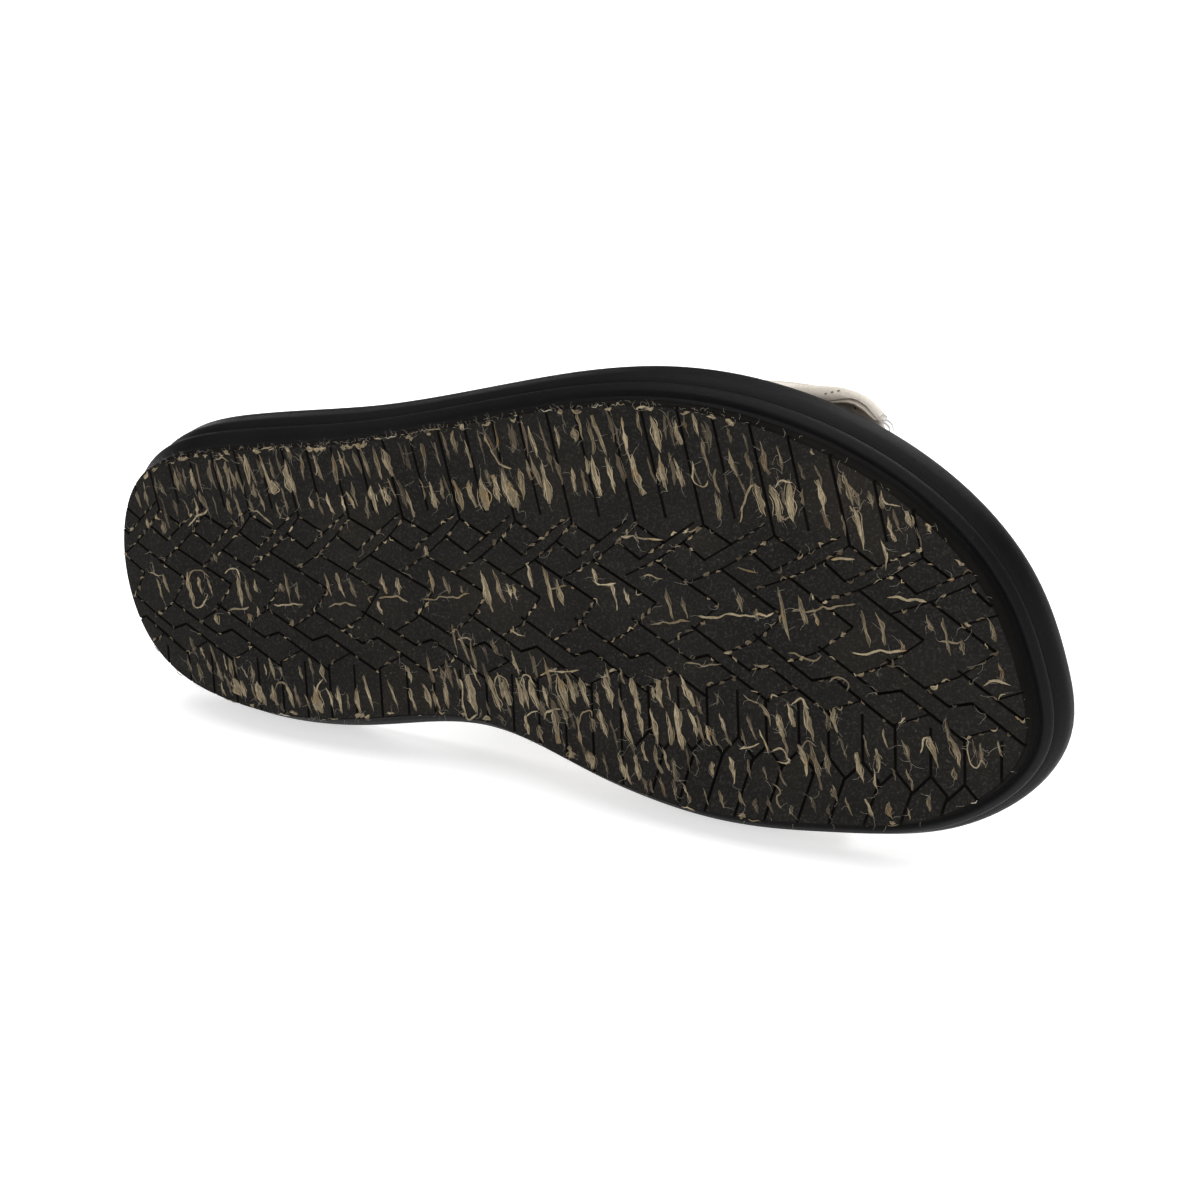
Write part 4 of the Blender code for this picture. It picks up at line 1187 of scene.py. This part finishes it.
def add_fray(yarn):
    """Broken pale fibre and small tufts along the tread's edge, most on the lateral side."""
    ring = outline(-FRAY_INSET, FRAY_POINTS)
    for i, (place, out) in enumerate(zip(ring, outwards(ring))):
        lateral, = read_table(place[0], LATERAL_FRAY)
        medial, = read_table(place[0], MEDIAL_FRAY)
        amount = max(np.clip(-out[1], 0.0, 1.0) * lateral, np.clip(out[1], 0.0, 1.0) * medial, LEAST_FRAY)
        if chance.random() < FRAY_STRANDS * amount:
            run = ring[np.arange(i, i + chance.integers(3, 8)) % len(ring)]
            run = run + chance.normal(0.0, 0.18, run.shape)
            widths = chance.uniform(0.1, 0.38) * np.sin(np.linspace(0.3, 2.9, len(run)))
            strand = on_tread(run, chance.uniform(-0.15, 0.25))
            yarn.strands.add_ribbon(strand, widths, chance.choice([BRIGHT, DULL, PALE]))
        if chance.random() < FRAY_TUFTS * amount:
            lean = math.degrees(math.atan2(-out[1], out[0])) + chance.normal(0.0, 15.0)
            size = chance.uniform(1.2, 2.8)
            add_tuft(yarn, place - 0.8 * out, size, chance.uniform(0.7, 1.4), lean, BRIGHT, hairs=1)
        for _ in range(chance.poisson(FRAY_HAIRS * amount)):
            angle = math.atan2(out[1], out[0]) + chance.normal(0.0, 1.1)
            start = place + chance.normal(0.0, 0.3, 2)
            add_hair(yarn, start, angle, chance.uniform(0.5, 1.9), chance.uniform(-0.4, 0.3))


Yarn = namedtuple("Yarn", "cores strands hairs")


def make_yarn(finishes, pale):
    """All the yarn of the tread."""
    yarn = Yarn(Stock(), Stock(), Stock())
    tufts = [Tuft(*row) for row in LATERAL_TUFTS + MIDDLE_TUFTS + MEDIAL_TUFTS]
    add_rows(yarn, np.array([(tuft.along, tuft.across) for tuft in tufts]))
    add_full_tufts(yarn, tufts)
    add_threads(yarn)
    cells = [
        (index, [on_lattice(cell, *place) for place in groove])
        for cell in CELLS for index, groove in enumerate(CELL_GROOVES)
    ]
    add_beads(yarn, cells)
    add_fray(yarn)
    yarn.cores.make("yarn_cores", finishes, "tread_rubber", sharp=YARN_SHARP)
    yarn.strands.make("yarn_strands", finishes, "tread_rubber", facing=False)
    yarn.hairs.make("yarn_hairs", [pale], "tread_rubber", facing=False)


def between(front, rear, share):
    """A band size part of the way from the front edge to the rear one."""
    return front + (rear - front) * share


def side_curve(medial, width_share, stations):
    """Points up one side of the band, from the slot's floor to the ridge, on its middle surface."""
    front, rear = (BAND_FRONT.medial, BAND_REAR.medial) if medial else (BAND_FRONT.lateral, BAND_REAR.lateral)
    base, lean, rise, crown, flare = (between(a, b, width_share) for a, b in zip(front, rear))
    ridge_along = between(BAND_FRONT.ridge_along, BAND_REAR.ridge_along, width_share)
    ridge_up = between(BAND_FRONT.ridge_up, BAND_REAR.ridge_up, width_share)
    slot_top = ground_clearance(base) + rim_height(base) - SLOT_TOP_DROP
    shoulder_along = base - lean * rise
    towards = 1.0 if medial else -1.0
    foot = np.array([base, edge_across(base, medial, BAND_REACH), slot_top])
    shoulder_across = edge_across(shoulder_along, medial, BAND_REACH) + towards * flare
    handle_up = np.array([shoulder_along, shoulder_across, slot_top + rise])
    handle_across = np.array([ridge_along, RIDGE_ACROSS + towards * crown, ridge_up])
    ridge = np.array([ridge_along, RIDGE_ACROSS, ridge_up])
    t = np.array(stations)[:, None]
    rest = 1.0 - t
    curve = rest ** 3 * foot + t ** 3 * ridge
    curve += 3 * t * rest * (rest * handle_up + t * handle_across)
    return np.vstack([foot - (0.0, 0.0, SLOT_DEPTH - SLOT_CLEAR), curve])


def band_surface(stations, rows):
    """The band's middle surface and its outward directions, on a grid of rows (front to rear) and columns."""
    surface = np.array([
        np.vstack([side_curve(True, row, stations), side_curve(False, row, stations)[-2::-1]])
        for row in rows
    ])
    facing = np.cross(np.gradient(surface, axis=0), np.gradient(surface, axis=1))
    facing /= np.linalg.norm(facing, axis=2, keepdims=True)
    return surface, facing


def band_lines(lines, rows):
    """The second of three lines on the band, at shares of the way up: its points and outward directions.

    The medial one comes first, then the lateral one.
    """
    surface, facing = band_surface([*lines, 1.0], rows)
    return [(surface[:, column], facing[:, column]) for column in (2, -3)]


def lap_heights(climb):
    """How far the lapped panels raise the band at shares of the way up."""
    return np.array([sum(share > seam for seam in SEAMS) for share in climb]) * SEAM_STEP


def fold_heights(rows):
    """How far the folded edges raise the band at shares of the way to the rear edge."""
    edge = np.minimum(rows, 1.0 - rows)
    return FOLD_RAISE * np.clip(1.0 - (edge - FOLD_SHARE) / FOLD_EASE, 0.0, 1.0)


def creased(medial, climb, rows):
    """How deep the creases press into one side of the band, on a grid of rows and shares of the way up."""
    depth = np.zeros((len(rows), len(climb)))
    up, rear = np.meshgrid(climb * BAND_SIDE_LENGTH, rows * BAND_WIDTH)
    grid = np.column_stack([up.ravel(), rear.ravel()])
    for crease in CREASES:
        if crease.medial != medial:
            continue
        ends = np.array([crease.start, crease.end]) * (BAND_SIDE_LENGTH, BAND_WIDTH)
        middle = ends.mean(axis=0) + np.array([CREASE_BEND, -CREASE_BEND]) * (ends[1] - ends[0])[::-1]
        line = rounded([ends[0], middle, ends[1]], 2)
        apart = distance_to(grid, segments_of([line])).reshape(depth.shape)
        depth = np.maximum(depth, crease.depth * np.exp(-(apart / crease.width * CREASE_EDGE) ** 2))
    return depth


def band_layer(surface, facing, low, high, rounding):
    """A sheet between two heights over the band's middle surface, rounded at its front and rear edges."""
    middle = (low + high) / 2.0
    shell = surface + facing * (middle + (high - middle) * rounding[:, None])[..., None]
    under = surface + facing * (middle + (low - middle) * rounding[:, None])[..., None]
    stock = Stock()
    stock.add_grid(np.concatenate([shell, under[::-1]]))
    return stock


def make_band(nubuck, lining):
    """The instep band: an outer nubuck layer with lapped panels and creases, and a lining."""
    steps = [seam + np.array([-SEAM_EASE, SEAM_EASE]) for seam in SEAMS]
    stations = np.unique(np.concatenate([np.linspace(0.0, 1.0, BAND_COLUMNS), *steps]))
    edge_rows = np.array(EDGE_ROWS)
    middle_rows = np.linspace(FIRST_ROW, 1.0 - FIRST_ROW, BAND_ROWS)
    rows = np.concatenate([edge_rows, middle_rows, 1.0 - edge_rows[::-1]])
    surface, facing = band_surface(stations, rows)
    climb = np.concatenate([[0.0], stations])
    laps = lap_heights(climb)
    free = np.clip((climb - FOLD_START) / FOLD_START, 0.0, 1.0)
    raised = laps[None, :] + fold_heights(rows)[:, None] * free[None, :]
    medial, lateral = (raised - creased(side, climb, rows) for side in (True, False))
    swell = np.hstack([medial, lateral[:, -2::-1]])
    lapped = np.concatenate([laps, laps[-2::-1]])[None, :]
    inwards = np.clip(np.minimum(rows, 1.0 - rows) / EDGE_ROUND, 0.0, 1.0)
    rounding = np.sqrt(np.clip(1.0 - (1.0 - inwards) ** 2, 0.0, 1.0))
    outer = band_layer(surface, facing, lapped - SHELL_UNDER, BAND_HALF + swell, rounding)
    weld(outer.make("band", [nubuck], "band_leather", sharp=BAND_SHARP, replaces="upper"))
    surface, facing = band_surface(stations, LINING_INSET + rows * (1.0 - 2.0 * LINING_INSET))
    opened = LINING_GAP * np.exp(-rows / GAP_EASE)[:, None] * np.ones_like(swell)
    low, high = lapped - BAND_HALF - opened * GAP_BELOW, lapped - LINING_OVER - opened
    inner = band_layer(surface, facing, low, high, rounding)
    weld(inner.make("band_lining", [lining], "band_leather", sharp=BAND_SHARP))


def add_stitch_line(stock, path, facing):
    """Stitches along a path on the band, each a short thread that dips in at its ends."""
    travelled = travel_along(path)
    share = np.linspace(0.0, 1.0, STITCH_POINTS)
    for start in np.arange(1.0, travelled[-1] - STITCH_LENGTH, STITCH_PITCH):
        at = start + STITCH_LENGTH * share
        out = read_at(at, travelled, facing)
        bulge = np.sin(np.pi * share)
        place = read_at(at, travelled, path) + out * (STITCH_BULGE * bulge - STITCH_DIP)[:, None]
        stock.add_tube(place, STITCH_RADIUS * (0.6 + 0.4 * bulge), flat=0.8, face_up=out.mean(axis=0))


def rise_of(base, top, bulge, count=7):
    """Lines from a base line up to a top line, pushed out by bulge on the way."""
    lines = []
    for share in np.linspace(0.0, 1.0, count)[1:]:
        rest = 1.0 - share
        lines.append(rest ** 2 * base + 2 * share * rest * (base + bulge) + share ** 2 * top)
    return lines


def make_lip(nubuck, lining):
    """The band's loose front corner: its two layers stand off over the rim, with a hollow under them."""
    level = np.full((len(LOOSE_LIP), 1), LIP_LEVEL)
    outside, crease, inner = (np.hstack([np.array(line), level]) for line in zip(*LOOSE_LIP))
    _, (surface, facing) = band_lines(LIP_JOIN_LINES, np.linspace(0.0, LIP_REAR, 80))
    joint = (surface + facing * (BAND_HALF - LIP_SUNK))[::-1]
    top = read_at(outside[:, 0] - LIP_BACK, joint[:, 0], joint)
    folded = (outside + crease) / 2.0 - LIP_FOLD * UP
    by_crease = crease * 0.7 + folded * 0.3 - CREASE_FOLD * UP
    by_outside = folded * 0.3 + outside * 0.7 - OUTSIDE_FOLD * UP
    rising = rise_of(outside, top, np.array(LIP_BULGE))
    outer_layer = Stock()
    outer_layer.add_grid([crease, by_crease, folded, by_outside, outside, *rising])
    outer_layer.make("band_lip", [nubuck], "band_leather", sharp=LIP_SHARP)
    start = crease + (inner - crease) * 0.25 + LINING_LIFT * UP
    folded = (start + inner) / 2.0 - LINING_FOLD * UP
    rising = rise_of(inner, inner + LIP_HOLLOW, np.array(LINING_BULGE))
    under_layer = Stock()
    under_layer.add_grid([start + LINING_TUCK * UP, start, folded, inner, *rising])
    under_layer.make("band_lip_lining", [lining], "band_leather", sharp=LIP_SHARP)


def make_stray_threads(thread):
    """Loose thread ends at the lip."""
    stock = Stock()
    for points in STRAY_THREADS:
        path = rounded(points)
        stock.add_tube(path, np.linspace(*STRAY_RADII, len(path)))
    stock.make("stray_threads", [thread], "band_leather")


def make_seam_edges(lining):
    """The pale cut edges of the lapped panels, from the band's front edge to its rear one."""
    stock = Stock()
    rows = np.linspace(LINING_INSET, 1.0 - LINING_INSET, 70)
    for order, seam in enumerate(SEAMS):
        height = BAND_HALF + SEAM_STEP * (order + SEAM_EDGE_RISE)
        for surface, facing in band_lines([seam + line for line in SEAM_EDGE_LINES], rows):
            radii = np.full(len(rows), SEAM_EDGE)
            stock.add_tube(surface + facing * height, radii, sides=8, face_up=facing.mean(axis=0))
    stock.make("band_seams", [lining], "band_leather")


def make_stitches(thread):
    """The band's stitching: along its front and rear edges, beside its lapped seams and on the lip."""
    stock = Stock()
    fine = np.linspace(STITCH_FOOT, 1.0, 160)
    laps = lap_heights(np.concatenate([fine, fine[-2::-1]]))
    for row in EDGE_STITCHES:
        surface, facing = (grid[1, 1:-1] for grid in band_surface(fine, [row - 0.004, row, row + 0.004]))
        height = BAND_HALF + laps + fold_heights(row)
        add_stitch_line(stock, surface + facing * height[:, None], facing)
    for order, seam in enumerate(SEAMS):
        height = BAND_HALF + SEAM_STEP * (order + 1)
        lines = [seam + line for line in SEAM_STITCH_LINES]
        for surface, facing in band_lines(lines, np.linspace(*SEAM_STITCHES, 80)):
            add_stitch_line(stock, surface + facing * height, facing)
    half = np.array([*LIP_STITCH, 0.0])
    for along, across in LIP_STITCHES:
        middle = np.array([along, across, LIP_LEVEL]) - LIP_STITCH_DROP * UP
        stock.add_tube(np.array([middle - half, middle + half]), np.full(2, STITCH_RADIUS * LIP_STITCH_THIN))
    stock.make("band_stitches", [thread], "band_leather")


def make_stage():
    """Floor, backdrop and soft light."""
    floor = bpy.data.meshes.new("floor")
    corners = [(FLOOR_HALF * x, FLOOR_HALF * y, 0.0) for x, y in ((-1, -1), (1, -1), (1, 1), (-1, 1))]
    floor.from_pydata(corners, [], [(0, 1, 2, 3)])
    floor.materials.append(glowing_floor_finish())
    plain = bpy.data.objects.new("floor", floor)
    plain.location.z = -FLOOR_DROP
    bpy.context.scene.collection.objects.link(plain)
    world = bpy.data.worlds.new("studio")
    world.use_nodes = True
    backdrop = world.node_tree.nodes["Background"].inputs
    backdrop["Color"].default_value = colour(1.0, 1.0, 1.0)
    seen = shader(world.node_tree, "ShaderNodeLightPath").outputs["Is Camera Ray"]
    world.node_tree.links.new(ramp(world.node_tree, seen, 0.0, 1.0, STUDIO_LIGHT, 1.0), backdrop["Strength"])
    bpy.context.scene.world = world
    for light in LIGHTS:
        add_light(light)


def add_light(light):
    """A square soft light that faces its target."""
    lamp = bpy.data.lights.new(light.name, "AREA")
    lamp.size = light.size
    lamp.energy = light.power
    holder = bpy.data.objects.new(light.name, lamp)
    holder.location = light.place
    aim = Vector(light.target) - Vector(light.place)
    holder.rotation_euler = aim.to_track_quat("-Z", "Y").to_euler()
    bpy.context.scene.collection.objects.link(holder)


def add_camera():
    """The camera at the photograph's angle to the shoe, rolled as the shoe lies."""
    lens = bpy.data.cameras.new("camera")
    lens.lens = CAMERA_LENS
    lens.sensor_width = CAMERA_SENSOR
    lens.clip_start = CAMERA_NEAR
    place = SHOE @ Vector(CAMERA_AT)
    back = (place - SHOE @ Vector(CAMERA_TARGET)).normalized()
    right = (SHOE.to_3x3() @ Vector(CAMERA_UP)).cross(back).normalized()
    up = back.cross(right)
    camera = bpy.data.objects.new("camera", lens)
    camera.matrix_world = Matrix.Translation(place) @ Matrix((right, up, back)).transposed().to_4x4()
    bpy.context.scene.collection.objects.link(camera)
    bpy.context.scene.camera = camera


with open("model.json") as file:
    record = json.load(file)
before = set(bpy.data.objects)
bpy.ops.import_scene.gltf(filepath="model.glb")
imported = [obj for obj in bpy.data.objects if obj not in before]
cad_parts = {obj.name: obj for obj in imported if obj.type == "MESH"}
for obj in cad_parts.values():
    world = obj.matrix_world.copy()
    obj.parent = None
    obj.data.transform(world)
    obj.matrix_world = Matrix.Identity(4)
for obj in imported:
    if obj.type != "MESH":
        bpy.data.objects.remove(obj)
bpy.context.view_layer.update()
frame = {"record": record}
SHOE = shoe_frame(frame["record"])
bpy.context.scene.view_settings.view_transform = "Standard"
FINE_GRAIN = fine_grain()
DUST_AND_SCUFFS = dust_and_scuffs()
clear_grooves, worn_grooves = groove_lines()
make_tread(segments_of(clear_grooves), segments_of(worn_grooves), tread_rubber(), groove_shade_rubber())
bright_yarn = yarn_finish(
    "bright_yarn", dull=(0.19, 0.15, 0.088), bright=(0.40, 0.33, 0.215), warm=(0.26, 0.165, 0.05))
dull_yarn = yarn_finish(
    "dull_yarn", dull=(0.10, 0.078, 0.048), bright=(0.21, 0.168, 0.105), warm=(0.17, 0.10, 0.03))
soiled_yarn = yarn_finish(
    "soiled_yarn", dull=(0.035, 0.027, 0.019), bright=(0.105, 0.083, 0.054), warm=(0.10, 0.062, 0.024))
pale_fibre = thread_finish("pale_fibre", pale=(0.38, 0.345, 0.28), deep=(0.21, 0.185, 0.14))
make_yarn([bright_yarn, dull_yarn, soiled_yarn, pale_fibre], pale_fibre)
side_finish = sidewall_rubber()
make_lower_tier(side_finish)
make_rim_tier(side_finish)
make_sock(sock_suede())
outer_leather, inner_leather = band_nubuck(), band_lining()
make_band(outer_leather, inner_leather)
make_lip(outer_leather, inner_leather)
make_seam_edges(inner_leather)
make_stitches(thread_finish("band_thread", pale=(0.27, 0.225, 0.175), deep=(0.15, 0.122, 0.095)))
make_stray_threads(thread_finish("white_thread", pale=(0.74, 0.73, 0.70), deep=(0.50, 0.49, 0.46)))
make_stage()
add_camera()
